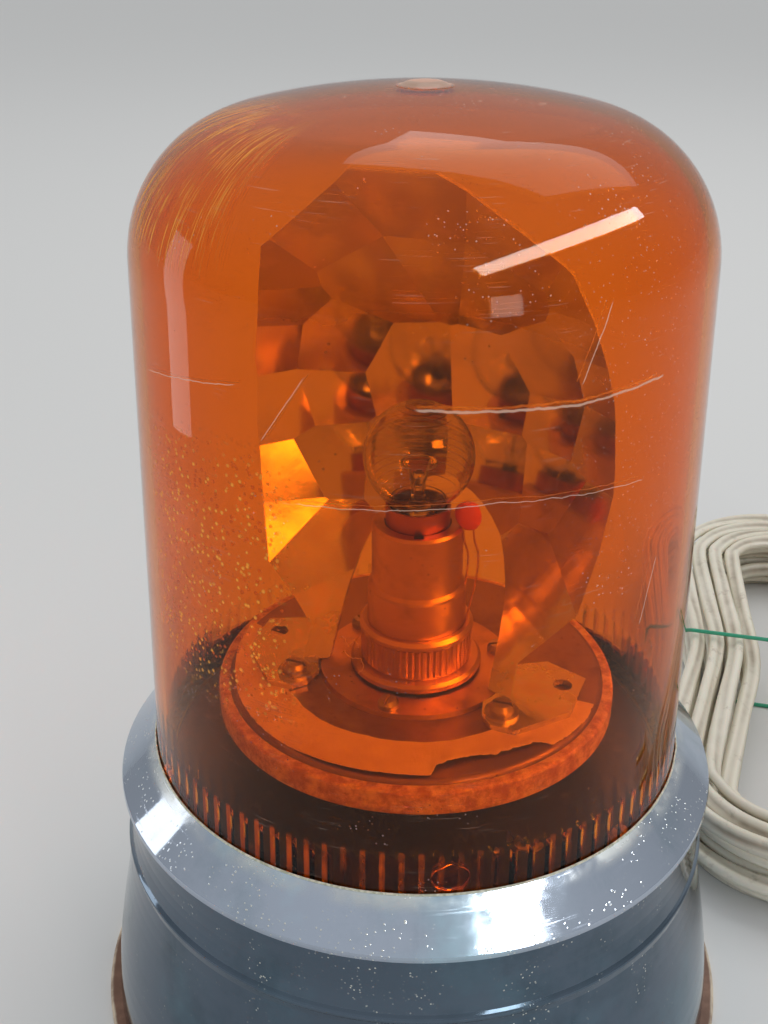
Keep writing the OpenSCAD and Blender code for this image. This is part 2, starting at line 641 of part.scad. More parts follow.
gland_neck_r = 6;
gland_lip = 2.5;
gland_l = 22;
gland_bore_r = cord_d / 2 + 0.1;
exit_skin_r = lookup(exit_h, [for (q = shell_line(0)) [q[1], q[0]]]);
gland_out_r = exit_skin_r + gland_l;
clamp_at_r = exit_skin_r - 24.3;
// Rubber gland: a groove grips the skirt's hole and a ribbed sleeve tapers outwards
module cable_gland() {
  lip_r = gland_neck_r + gland_lip;
  out_x = exit_skin_r + 0.8;
  in_x = exit_skin_r - shell_t - 1.4;
  color([0.12, 0.12, 0.12]) rotate([0, 0, exit_at]) translate([0, 0, exit_h]) rotate([0, 90, 0])
    difference() {
    rotate_extrude() polygon([[0, in_x - 2], [lip_r, in_x - 2], [lip_r, in_x], [gland_neck_r, in_x],
      [gland_neck_r, out_x], [lip_r, out_x], [lip_r, out_x + 2], [gland_neck_r, out_x + 3],
      [gland_bore_r + 1.2, gland_out_r], [0, gland_out_r]]);
    translate([0, 0, in_x - 5]) cylinder(r = gland_bore_r, h = gland_l + 20);
  }
}
// Two straps hold the flex against the bottom plate, inside the gland
module cord_clamp() {
  color([0.55, 0.56, 0.56]) rotate([0, 0, exit_at]) translate([clamp_at_r, 0, plate_top]) difference() {
    translate([-4, -11, 0]) cube([8, 22, exit_h + cord_d / 2 + 1.5 - plate_top]);
    translate([-5, 0, exit_h - plate_top]) rotate([0, 90, 0]) cylinder(r = gland_bore_r, h = 10);
    for (s = [-1, 1]) translate([0, s * 7.5, 1]) cylinder(r = screw_r + hole_fit, h = 30);
  }
}

// The flex's hidden end: from the gland's mouth through gland and clamp to the terminal block
block_low_y = block_at[1] - block[1] / 2;
flex_end = [block_at[0] + 15, block_low_y - 11, plate_top + 5];
module inner_flex() {
  way = [cos(exit_at), sin(exit_at), 0];
  up = [0, 0, exit_h];
  color([0.90, 0.87, 0.76]) sweep(concat([gland_out_r * way + up, (clamp_at_r + 8) * way + up],
    through([(clamp_at_r - 6) * way + up, [33, 30, 12.5], [26, 12, 9.5], [18, -8, 8.7], [10, -28, 8.6],
    flex_end + [7, 3, 0], flex_end], 4)), cord_d / 2, 8);
}

// Turntable

hub_low = shoulder_top + washer_t + 0.2;
hub_r = journal_r + bush_wall + 3;
hub_flange_t = 1.2;
hub_screw_at_r = hub_flange_r - 1.65 * screw_r;
hub_screw_start = -109;
module turntable_disc() {
  bend_r = 1.5;
  color([0.80, 0.80, 0.78]) difference() {
    rotate_extrude($fn = 144) polygon(concat([[hub_r + 0.05, disc_top - disc_t],
      [disc_r - disc_t, disc_top - disc_t], [disc_r - disc_t, rim_low], [disc_r, rim_low]],
      arc([disc_r - bend_r, disc_top - bend_r], bend_r, 0, 90, 4), [[hub_r + 0.05, disc_top]]));
    round_axis(3, hub_screw_start, hub_screw_at_r) table_hole();
    mirror_frame() for (s = [-1, 1]) translate([s * foot_screw[0], foot_screw[1], 0]) table_hole();
  }
}
module turntable_hub() {
  color([0.72, 0.60, 0.36]) difference() {
    union() {
      translate([0, 0, hub_low]) cylinder(r = hub_r, h = disc_top - hub_low + 0.1);
      translate([0, 0, disc_top]) rotate_extrude()
        polygon([[0, 0], [hub_flange_r, 0], [hub_flange_r - 0.4, hub_flange_t], [0, hub_flange_t]]);
    }
    translate([0, 0, hub_low - 1]) cylinder(r = journal_r + bush_wall, h = 2 * disc_lift);
    round_axis(3, hub_screw_start, hub_screw_at_r) table_hole();
  }
}
// A screw's hole through the turntable and what lies on it
module table_hole() {
  translate([0, 0, disc_top - 3 * disc_t]) cylinder(r = screw_r + hole_fit, h = 6 * disc_t);
}
module hub_screws() {
  color([0.74, 0.72, 0.66]) round_axis(3, hub_screw_start, hub_screw_at_r)
    translate([0, 0, disc_top + hub_flange_t]) screw(disc_t + hub_flange_t + 2, 1.35 * screw_r);
}
module turntable_bush() {
  color([0.66, 0.48, 0.24]) translate([0, 0, hub_low])
    ring(journal_r + bush_wall - 0.01, journal_r + run_gap, disc_top + hub_flange_t - hub_low);
}
module friction_ring() {
  top = disc_top - 1;
  low = rim_low + 0.2;
  c = 0.9;
  color([0.78, 0.42, 0.14]) rotate_extrude($fn = 144) polygon(concat([[disc_r + 0.02, low]],
    arc([disc_r + ring_w - c, low + c], c, -90, 0, 4), arc([disc_r + ring_w - c, top - c], c, 0, 90, 4),
    [[disc_r + 0.02, top]]));
}

// Mirror. It works in its own frame: x across, y behind the lamp, z up from the light centre
// The mirror's feet stand on the paper ring
label_t = 0.3;
foot_t = 1.6;
foot_low = label_t - focus_h;
function mirror_y(x, z) = focal - (x * x + z * z) / (4 * focal);
foot_x = hub_flange_r + 2;
foot_y = mirror_y(foot_x, 3 - focus_h) - 8.04;
foot_screw = [foot_x, foot_y];
foot_reach = disc_r - 4.5;
foot_slot_r = 2.5;
foot_slot_x = foot_x + 12;
arch_w = foot_x - 6;
mirror_front = -32;
mirror_back = 60;
// Centres of the flat facets, on the axis and then for the right half, which is mirrored to the left
mid_facets = [[0, 63], [0, 47]];
side_facets = [[22.5, 56], [42, 45], [42.5, 33], [43.5, 23], [42, 5], [40, -17], [40.4, -27], [14.5, 43],
  [29.2, 19.4], [12.5, 10], [31, 7], [30.9, -12.4], [13, -12.4], [32.8, -33.4], [26, -53]];
facets = concat(mid_facets, [for (f = side_facets, s = [-1, 1]) [s * f[0], f[1]]]);
// Right half of the outline from the top down, as shares of the width and of the height from the lamp
upper_edge = [[0.2, 1], [0.77, 0.7], [0.87, 0.52], [0.93, 0.375], [0.97, 0.26], [1, 0]];
lower_edge = [[1, -0.1], [0.96, -0.35], [0.89, -0.61], [0.74, -0.75]];
leg_w = 6.5;
arch_spring = -0.8 * focus_h;
arch_rise = 0.52 * focus_h;
module mirror_frame() {
  rotate([0, 0, parked]) children();
}
// Everything in front of the plane that touches the mirror's paraboloid at s, moved back by t
module facet_side(s, t) {
  n = unit([s[0] / (2 * focal), 1, s[1] / (2 * focal)]);
  touch = [s[0], mirror_y(s[0], s[1]), s[1]];
  big = 160;
  translate(touch + t * n) rotate([0, 0, atan2(n[0], -n[1])]) rotate([acos(n[2]), 0, 0])
    translate([-big, -big, -2 * big]) cube([2 * big, 2 * big, 2 * big]);
}
module bowl(t) {
  intersection_for(s = facets) facet_side(s, t);
}
module mirror_outline() {
  leg_low = foot_low + foot_t / 2;
  right = concat([for (q = upper_edge) [q[0] * mirror_w, q[1] * mirror_up]],
    [for (q = lower_edge) [q[0] * mirror_w, q[1] * focus_h]],
    [[arch_w + leg_w, -0.86 * focus_h], [arch_w + leg_w, leg_low], [arch_w, leg_low]],
    [for (a = [0:10:90]) [arch_w * cos(a), arch_spring + arch_rise * sin(a)]]);
  polygon(concat(right, flip([for (q = right) if (q[0] > 0.01) [-q[0], q[1]]])));
}
module hub_room(top) {
  translate([0, 0, -focus_h - 1]) cylinder(r = hub_flange_r + 0.3, h = 1 + top);
}
module reflector() {
  color([0.86, 0.86, 0.84]) mirror_frame() translate([0, 0, focus_z]) {
    intersection() {
      difference() {
        bowl(mirror_t);
        bowl(0);
        hub_room(hub_flange_t + 0.3);
      }
      translate([0, mirror_back, 0]) rotate([90, 0, 0]) linear_extrude(mirror_back - mirror_front)
        mirror_outline();
    }
    for (s = [-1, 1]) mirror_foot(s);
  }
}
// Flat foot with a screw hole and a second hole, clear of the hub's flange
module foot_outline(s) {
  inner = foot_x - 6;
  front = foot_y - 5.8;
  side = front + 12;
  back = 5;
  polygon([for (p = [[inner, 3], [inner, front + 11], [inner + 1.5, front + 3.5], [inner + 4.5, front],
    [inner + 11, front], [sqrt(foot_reach * foot_reach - side * side), side],
    [sqrt(foot_reach * foot_reach - back * back), back], [inner + 12, back + 4.5]]) [s * p[0], p[1]]]);
}
module mirror_foot(s) {
  difference() {
    translate([0, 0, foot_low]) linear_extrude(foot_t) foot_outline(s);
    translate([s * foot_screw[0], foot_screw[1], foot_low - 1])
      cylinder(r = screw_r + hole_fit, h = foot_t + 2);
    translate([s * foot_slot_x, 0, foot_low - 1]) cylinder(r = foot_slot_r, h = foot_t + 2);
    hub_room(foot_t + 1);
  }
}
module reflector_screws() {
  color([0.70, 0.68, 0.60]) mirror_frame() for (s = [-1, 1])
    translate([s * foot_screw[0], foot_screw[1], disc_top + label_t + foot_t]) {
    ring(2.2 * screw_r, screw_r, washer_t);
    translate([0, 0, washer_t]) screw(disc_t + label_t + foot_t + 5);
  }
}
module reflector_nuts() {
  color([0.66, 0.62, 0.52]) mirror_frame() for (s = [-1, 1])
    translate([s * foot_screw[0], foot_screw[1], disc_top - disc_t - 3])
    nut(3.4 * screw_r, screw_r + hole_fit, 3);
}
// Torn paper ring, bare, on the turntable's front
module label_ring() {
  label_out = disc_r - 1.6;
  label_in = label_out - 12.9;
  // Turn round the axis, and how far the tear goes in from the outer edge
  tear = [[-82, 3.6], [-72, 5.5], [-66, 4.2], [-60, 4.4], [-48, 2.4], [-44, 0.4], [-28, 0.2]];
  edge = concat([for (i = [0:12]) let (a = -200 + 115 * i / 12) label_out * [cos(a), sin(a)]],
    [for (t = tear) (label_out - t[1]) * [cos(t[0]), sin(t[0])]],
    [for (i = [0:14]) let (a = -24 - 176 * i / 14) label_in * [cos(a), sin(a)]]);
  color([0.85, 0.72, 0.50]) translate([0, 0, disc_top]) linear_extrude(label_t) polygon(edge);
}

// Dome, its seal and the bezel

dome_flange_t = 2.6;
function dome_line(t) = let (rr = dome_corner - t, cx = dome_shoulder_r - dome_corner,
    cz = dome_top - crown_r + sqrt(pow(crown_r - dome_corner, 2) - cx * cx),
    lean = atan2(cx, cz - dome_top + crown_r))
  concat(arc([cx, cz], rr, 0, 90 - lean, 14), [for (i = [1:5])
    let (a = lean * (5 - i) / 5) [(crown_r - t) * sin(a), dome_top - crown_r + (crown_r - t) * cos(a)]]);
function under_bezel(z) = bezel_hole_r + (slope_top - bezel_wall / bezel_lean - z) * bezel_lean - fit_gap;
module dome_seal() {
  color([0.55, 0.56, 0.46]) translate([0, 0, shell_top]) ring(neck_r - 2, dome_foot_r - dome_t, seal_t);
}
module dome() {
  flange_top = dome_low + dome_flange_t;
  color([0.95, 0.36, 0.05, 0.6]) {
    rotate_extrude($fn = 180) polygon(concat([[dome_foot_r - dome_t, dome_low],
      [under_bezel(dome_low + 1), dome_low], [under_bezel(dome_low + 1), dome_low + 1],
      [under_bezel(flange_top), flange_top], [dome_foot_r, flange_top + 0.6]], dome_line(0),
      flip(dome_line(dome_t))));
    translate([0, 0, dome_top - 0.1]) rotate_extrude($fn = 48)
      polygon([[0, 0], [5, 0], [4.4, 0.9], [0, 1]]);
  }
}
module bezel_ring() {
  color([0.72, 0.75, 0.80]) rotate_extrude($fn = 180)
    polygon([[skirt_in_r, bezel_low], [bezel_r - 0.6, bezel_low], [bezel_r, bezel_low + 0.5],
    [bezel_r, bezel_low + 1.2], [bezel_r - 0.2, slope_low], [bezel_hole_r + 0.25, slope_top - 0.25],
    [bezel_hole_r, slope_top - 0.1], [bezel_hole_r, slope_top - bezel_wall / bezel_lean],
    [skirt_in_r, slope_top - bezel_wall / bezel_lean - (skirt_in_r - bezel_hole_r) / bezel_lean]]);
}

// Cord. The hank lies beside the base, turned by hank_turn, and its own frame has y along the runs
hank_at = [148, 125];
hank_turn = -14;
layers = 4;
layer_rise = hank_step;
hank_z = cord_d / 2 + 0.1;
tie_r = 0.75;
cord_lift = 2 * tie_r + 0.2;
ring_count = 24;
arc_rings = 8;
run_rings = 4;
hank_tube_r = cord_d / 2;
half_loop = ring_count / 2;
layer_rings = layer_loops * ring_count;
total_rings = layers * layer_rings + half_loop;

function to_world(p) = [hank_at[0] + p[0] * cos(hank_turn) - p[1] * sin(hank_turn),
  hank_at[1] + p[0] * sin(hank_turn) + p[1] * cos(hank_turn), p[2]];
// Half width of the loop at ring i: in on even layers, out on odd ones
function loop_w(i) = let (l = floor(i / layer_rings), f = (i - l * layer_rings) / ring_count)
  l >= layers ? hank_w + hank_step * f :
  l % 2 == 0 ? hank_w - hank_step * f : hank_w - hank_step * (layer_loops - f);
// Height at ring i: a layer is climbed along the run that starts where the spiral turns back
function loop_z(i) = let (l = floor(i / layer_rings), k = i - l * layer_rings)
  l == 0 ? hank_z : l >= layers ? hank_z + (layers - 1) * layer_rise :
  hank_z + (l - 1 + min(1, k / (run_rings / 2))) * layer_rise;
// The place in a loop: ring 0 is the middle of the left run, heading away from the front
function loop_at(i) = let (j = i % ring_count, w = loop_w(i), half = run_rings / 2)
  j < half ? [-w, hank_run * j / half] :
  j < half + arc_rings ? let (a = 180 - 180 * (j - half) / arc_rings) [w * cos(a), hank_run + w * sin(a)] :
  j < 3 * half + arc_rings ? [w, hank_run * (1 - (j - half - arc_rings) / half)] :
  j < 2 * arc_rings + 3 * half ? let (a = -180 * (j - 3 * half - arc_rings) / arc_rings)
    [w * cos(a), -hank_run + w * sin(a)] :
  [-w, -hank_run * (ring_count - j) / half];
function drawn_in(p) = abs(p[1]) >= hank_run ? p :
  [p[0] - sign(p[0]) * hank_waist * (1 + cos(180 * p[1] / hank_run)) / 2, p[1]];
function lifted(y) = abs(y) >= hank_run ? 0 : cord_lift * (1 + cos(180 * y / hank_run)) / 2;
function hank_point(i) = let (p = drawn_in(loop_at(i))) [p[0], p[1], loop_z(i) + lifted(p[1])];
hank_line = concat([[hank_point(0)[0], -cord_d, hank_point(0)[2]]],
  [for (i = [0:total_rings]) hank_point(i)],
  [[hank_point(total_rings)[0], -cord_d, hank_point(total_rings)[2]]]);

// The lead's route on the floor, from the gland to the hank, and the tail's in the hank's frame
lead_route = [[83, 99, 11], [92, 109, 6.5], [100, 117, 4.4], [107, 121.5, 4.6]];
plug_l = 35;
plug_w = 26;
plug_t = 14;
pin_gap = 18.6;
pin_l = 19;
plug_at = [hank_w + 18, 9 - hank_run, plug_t / 2];
tail_route = [[hank_w - 2, -0.21 * hank_run, 26], [hank_w + 3, -0.37 * hank_run, 21],
  [hank_w + 10, -0.53 * hank_run, 13], [hank_w + 16, -0.69 * hank_run, 8]];
gland_mouth = [gland_out_r * cos(exit_at), gland_out_r * sin(exit_at), exit_h];
gland_way = [cos(exit_at), sin(exit_at), 0];
run_way = to_world([0, 1, 0]) - to_world([0, 0, 0]);
lead_line = concat([gland_mouth, gland_mouth + cord_d * gland_way],
  through(concat([gland_mouth + cord_d * gland_way], lead_route,
  [to_world(hank_line[0]) - cord_d * run_way]), 5), [to_world(hank_line[0])]);
tail_line = concat([hank_line[len(hank_line) - 1]],
  through(concat([hank_line[len(hank_line) - 1] - [0, cord_d, 0]], tail_route, [plug_at + [0, cord_d, 0]]),
  5), [plug_at]);
clean_lead = [for (i = [0:len(lead_line) - 1]) if (i == 0 || norm(lead_line[i] - lead_line[i - 1]) > 0.5)
  lead_line[i]];
clean_tail = [for (i = [0:len(tail_line) - 1]) if (i == 0 || norm(tail_line[i] - tail_line[i - 1]) > 0.5)
  tail_line[i]];

function line_length(p) = len(p) < 2 ? 0 : sum([for (i = [1:len(p) - 1]) norm(p[i] - p[i - 1])]);
function sum(v) = v * [for (x = v) 1];
// Smallest distance between rings of the hank that are more than half a loop apart, less the tube's width
function self_gap(p) = min([for (i = [0:2:len(p) - 1], j = [i + half_loop:len(p) - 1])
  norm(p[i] - p[j])]) - cord_d;
echo(hank_gap = self_gap(hank_line),
  cord_length = line_length(clean_lead) + line_length(hank_line) + line_length(clean_tail));

module cord_lead() {
  color([0.90, 0.87, 0.76]) sweep(clean_lead, cord_d / 2, 8);
}
module cord_hank() {
  color([0.88, 0.85, 0.74]) sweep([for (p = hank_line) to_world(p)], hank_tube_r, 6);
}
module cord_tail() {
  color([0.90, 0.87, 0.76]) sweep([for (p = clean_tail) to_world(p)], cord_d / 2, 8);
}
// Green tie wire round the hank's waist
module cord_tie() {
  tie_w = hank_w - hank_waist + hank_step / 2 + cord_d / 2 + 1.4;
  tie_h = hank_z + (layers - 1) * layer_rise + cord_lift + cord_d / 2 + 1.4;
  c = 5;
  loop = concat(arc([tie_w - c, tie_h - c], c, 0, 90, 5), arc([-tie_w + c, tie_h - c], c, 90, 180, 5),
    arc([-tie_w + 2, tie_r + 2], 2, 180, 270, 3), arc([tie_w - 2, tie_r + 2], 2, 270, 360, 3));
  color([0.05, 0.45, 0.28]) closed_sweep([for (q = loop) to_world([q[0], 0, q[1]])], tie_r, 6);
}
module closed_sweep(p, r, n) {
  m = len(p);
  axis = unit(run_way);
  points = [for (i = [0:m - 1]) let (t = unit(p[(i + 1) % m] - p[(i + m - 1) % m]), up = cross(t, axis))
    each [for (k = [0:n - 1]) p[i] + r * cos(360 * k / n) * axis + r * sin(360 * k / n) * up]];
  polyhedron(points, [for (i = [0:m - 1], k = [0:n - 1]) let (a = i * n + k, b = i * n + (k + 1) % n,
    c = ((i + 1) % m) * n + k, d = ((i + 1) % m) * n + (k + 1) % n) each [[a, d, b], [a, c, d]]],
    convexity = 10);
}
// Flat two-pin plug, lying on the floor with its pins towards the front
module in_hank() {
  translate([hank_at[0], hank_at[1], 0]) rotate([0, 0, hank_turn]) children();
}
module plug_body() {
  color([0.90, 0.87, 0.76]) in_hank() translate([plug_at[0], plug_at[1], plug_t / 2]) difference() {
    intersection() {
      rotate([90, 0, 0]) linear_extrude(plug_l) offset(r = 2.5, $fn = 24)
        square([plug_w - 5, plug_t - 5.2], center = true);
      translate([0, 0, -plug_t]) linear_extrude(2 * plug_t)
        polygon([[-4.5, 0], [4.5, 0], [7.5, -6], [10, -15], [plug_w / 2, -20],
        [plug_w / 2, -plug_l - 1], [-plug_w / 2, -plug_l - 1], [-plug_w / 2, -20], [-10, -15], [-7.5, -6]]);
    }
    for (s = [-1, 1]) translate([s * pin_gap / 2, -plug_l - 1, 0]) rotate([-90, 0, 0])
      cylinder(r = 1.95, h = 12, $fn = 32);
  }
}
module plug_pins() {
  color([0.78, 0.76, 0.70]) in_hank() for (s = [-1, 1])
    translate([plug_at[0] + s * pin_gap / 2, plug_at[1] - plug_l + 10, plug_t / 2]) rotate([90, 0, 0])
    rotate_extrude($fn = 32) polygon([[0, 0], [1.9, 0], [1.9, pin_l + 9], [1.1, pin_l + 10],
      [0, pin_l + 10]]);
}

base_mat();
base_plate();
body_shell();
pillars();
pillar_screws();
chassis_plate();
ledge_screws();
ledge_nuts();
spindle();
spindle_washer();
spindle_nut();
thrust_washer();
holder_base();
holder_collar();
holder_tube();
contact_insulator();
contact_plungers();
contact_springs();
bulb_cap();
bulb_glass();
bulb_stem();
filament();
motor_can();
motor_cap();
motor_bracket();
motor_screws();
shaft_bearing();
motor_shaft();
drive_roller();
terminal_block();
terminal_screws();
capacitor();
wiring();
cable_gland();
cord_clamp();
inner_flex();
dome_seal();
turntable_disc();
turntable_hub();
hub_screws();
turntable_bush();
friction_ring();
reflector();
reflector_screws();
reflector_nuts();
label_ring();
dome();
bezel_ring();
cord_lead();
cord_hank();
cord_tail();
cord_tie();
plug_body();
plug_pins();
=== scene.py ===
"""Rotating beacon light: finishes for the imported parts, and the pieces that are modelled here.

Lengths are metres. The origin is the centre of the mat's underside, +Z is up and the front is -Y.
"""

import json
import math

import bpy
from bpy.props import FloatProperty, FloatVectorProperty, IntProperty, PointerProperty
from mathutils import Matrix, Vector, noise


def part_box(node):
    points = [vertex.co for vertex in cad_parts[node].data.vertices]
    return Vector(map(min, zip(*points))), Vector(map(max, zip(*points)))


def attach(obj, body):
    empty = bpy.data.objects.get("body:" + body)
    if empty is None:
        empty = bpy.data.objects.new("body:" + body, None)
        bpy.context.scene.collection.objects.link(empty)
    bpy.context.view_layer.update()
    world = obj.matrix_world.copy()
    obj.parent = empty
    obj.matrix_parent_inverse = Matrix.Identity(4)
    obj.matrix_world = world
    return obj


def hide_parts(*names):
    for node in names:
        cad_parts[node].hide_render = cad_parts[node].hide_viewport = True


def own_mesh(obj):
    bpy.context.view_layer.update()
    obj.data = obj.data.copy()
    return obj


bl_info = {
    "name": "Rotating beacon light",
    "version": (1, 0, 0),
    "blender": (4, 5, 0),
    "location": "3D View > Sidebar > Beacon",
    "description": "Finishes an amber rotating beacon and models its dome, flex and small parts",
    "category": "Add Mesh",
}

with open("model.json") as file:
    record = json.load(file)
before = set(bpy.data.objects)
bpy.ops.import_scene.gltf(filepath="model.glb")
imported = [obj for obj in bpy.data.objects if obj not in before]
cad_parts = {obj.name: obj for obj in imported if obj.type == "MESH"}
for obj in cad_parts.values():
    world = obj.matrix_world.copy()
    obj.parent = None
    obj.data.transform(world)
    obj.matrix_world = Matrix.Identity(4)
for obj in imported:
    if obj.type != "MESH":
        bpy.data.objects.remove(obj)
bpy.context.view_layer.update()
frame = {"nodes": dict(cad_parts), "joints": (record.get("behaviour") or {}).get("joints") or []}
NODES = frame["nodes"]
MM = 0.001


# Shader maths


class Value:
    """A number that comes out of a node. Sums on it add Math nodes, so 1 - mask works."""

    def __init__(self, finish, socket):
        self.finish = finish
        self.socket = socket

    def _math(self, operation, *terms):
        return self.finish.node("ShaderNodeMath", {"operation": operation}, terms)

    def __add__(self, other):
        return self._math("ADD", self, other)

    __radd__ = __add__

    def __sub__(self, other):
        return self._math("SUBTRACT", self, other)

    def __rsub__(self, other):
        return self._math("SUBTRACT", other, self)

    def __mul__(self, other):
        return self._math("MULTIPLY", self, other)

    def __pow__(self, other):
        return self._math("POWER", self, other)

    def __neg__(self):
        return self._math("MULTIPLY", self, -1.0)

    def __abs__(self):
        return self._math("ABSOLUTE", self)

    def ramp(self, low, high):
        """0 below low, 1 above high and a smooth step between. With low above high it falls."""
        step = self.finish.node(
            "ShaderNodeMapRange",
            {"interpolation_type": "SMOOTHSTEP"},
            {"Value": self, "From Min": min(low, high), "From Max": max(low, high)},
        )
        return 1 - step if low > high else step

    def band(self, low, high, soft):
        """1 between low and high, with soft edges."""
        return self.ramp(low - soft, low) * self.ramp(high + soft, high)

    def larger(self, other):
        return self._math("MAXIMUM", self, other)


class Finish:
    """A material that is being put together from nodes."""

    def __init__(self, name):
        self.material = bpy.data.materials.new(name)
        self.material.use_nodes = True
        self.tree = self.material.node_tree
        self.tree.nodes.clear()
        self.out = self.tree.nodes.new("ShaderNodeOutputMaterial")
        self._place = None

    def node(self, kind, settings=None, inputs=(), out=0):
        """Adds a node: its settings, then the values or links of its sockets. Gives one output."""
        made = self.tree.nodes.new(kind)
        for key, value in (settings or {}).items():
            setattr(made, key, value)
        pairs = inputs.items() if isinstance(inputs, dict) else enumerate(inputs)
        for key, value in pairs:
            socket = made.inputs[key]
            if isinstance(value, Value):
                self.tree.links.new(value.socket, socket)
            elif socket.type == "RGBA":
                socket.default_value = (*tuple(value)[:3], 1.0)
            else:
                socket.default_value = value
        return Value(self, made.outputs[out])

    @property
    def place(self):
        if self._place is None:
            self._place = self.node("ShaderNodeTexCoord", out="Object")
        return self._place

    def axes(self):
        return [self.node("ShaderNodeSeparateXYZ", {}, (self.place,), out=k) for k in range(3)]

    def round_the_axis(self, radius):
        """Distance round the axis from the front, height, and distance from the axis."""
        x, y, z = self.axes()
        turn = self.node("ShaderNodeMath", {"operation": "ARCTAN2"}, (x, -y))
        away = (x * x + y * y) ** 0.5
        return turn * radius, z, away

    def vector(self, x, y, z):
        return self.node("ShaderNodeCombineXYZ", {}, (x, y, z))

    def stretched(self, sx, sy, sz):
        """The place, with each axis scaled on its own."""
        return self.node("ShaderNodeMapping", {}, {"Vector": self.place, "Scale": (sx, sy, sz)})

    def noise(self, scale, detail=4.0, rough=0.55, at=None):
        return self.node(
            "ShaderNodeTexNoise",
            {},
            {"Vector": at or self.place, "Scale": scale, "Detail": detail, "Roughness": rough},
        )

    def cells(self, scale):
        """Distance to the middle of the nearest of many scattered cells."""
        return self.node(
            "ShaderNodeTexVoronoi", {}, {"Vector": self.place, "Scale": scale}, out="Distance"
        )

    def mix(self, share, first, second):
        """A colour between two, by a share from 0 to 1."""
        return self.node(
            "ShaderNodeMix", {"data_type": "RGBA"}, {0: share, 6: first, 7: second}, out=2
        )

    def bump(self, height, depth, strength):
        inputs = {"Height": height, "Distance": depth, "Strength": strength}
        return self.node("ShaderNodeBump", {}, inputs)

    def skin(self, **sockets):
        """A Principled shader. Keys are socket names with _ for a space."""
        inputs = {key.replace("_", " "): value for key, value in sockets.items()}
        return self.node("ShaderNodeBsdfPrincipled", {}, inputs)

    def over(self, share, first, second):
        return self.node("ShaderNodeMixShader", {}, (share, first, second))

    def done(self, shader, volume=None):
        self.tree.links.new(shader.socket, self.out.inputs["Surface"])
        if volume is not None:
            self.tree.links.new(volume.socket, self.out.inputs["Volume"])
        return self.material

    def coat(self, **sockets):
        """The whole material as one Principled shader."""
        return self.done(self.skin(**sockets))


# Finishes


def scratch(across, height, start, end, width):
    """1 along a straight scratch on the unrolled dome, from start to end, in metres."""
    (u0, v0), (u1, v1) = start, end
    if abs(u1 - u0) < abs(v1 - v0):
        across, height, u0, v0, u1, v1 = height, across, v0, u0, v1, u1
    off = height - (v0 + (across - u0) * ((v1 - v0) / (u1 - u0)))
    return abs(off).ramp(width, width * 0.3) * across.band(min(u0, u1), max(u0, u1), 0.0015)


SCRATCHES = (
    ((-0.002, 0.2048), (0.030, 0.2036), 0.00042),
    ((0.030, 0.2036), (0.0521, 0.2046), 0.00036),
    ((-0.0718, 0.2002), (-0.042, 0.2051), 0.00016),
    ((-0.026, 0.1831), (0.014, 0.1853), 0.00014),
    ((0.014, 0.1853), (0.048, 0.1834), 0.00014),
    ((0.0308, 0.2084), (0.0363, 0.2216), 0.00020),
    ((0.0562, 0.1618), (0.0522, 0.1485), 0.00020),
    ((-0.034, 0.196), (-0.0255, 0.2085), 0.00015),
)


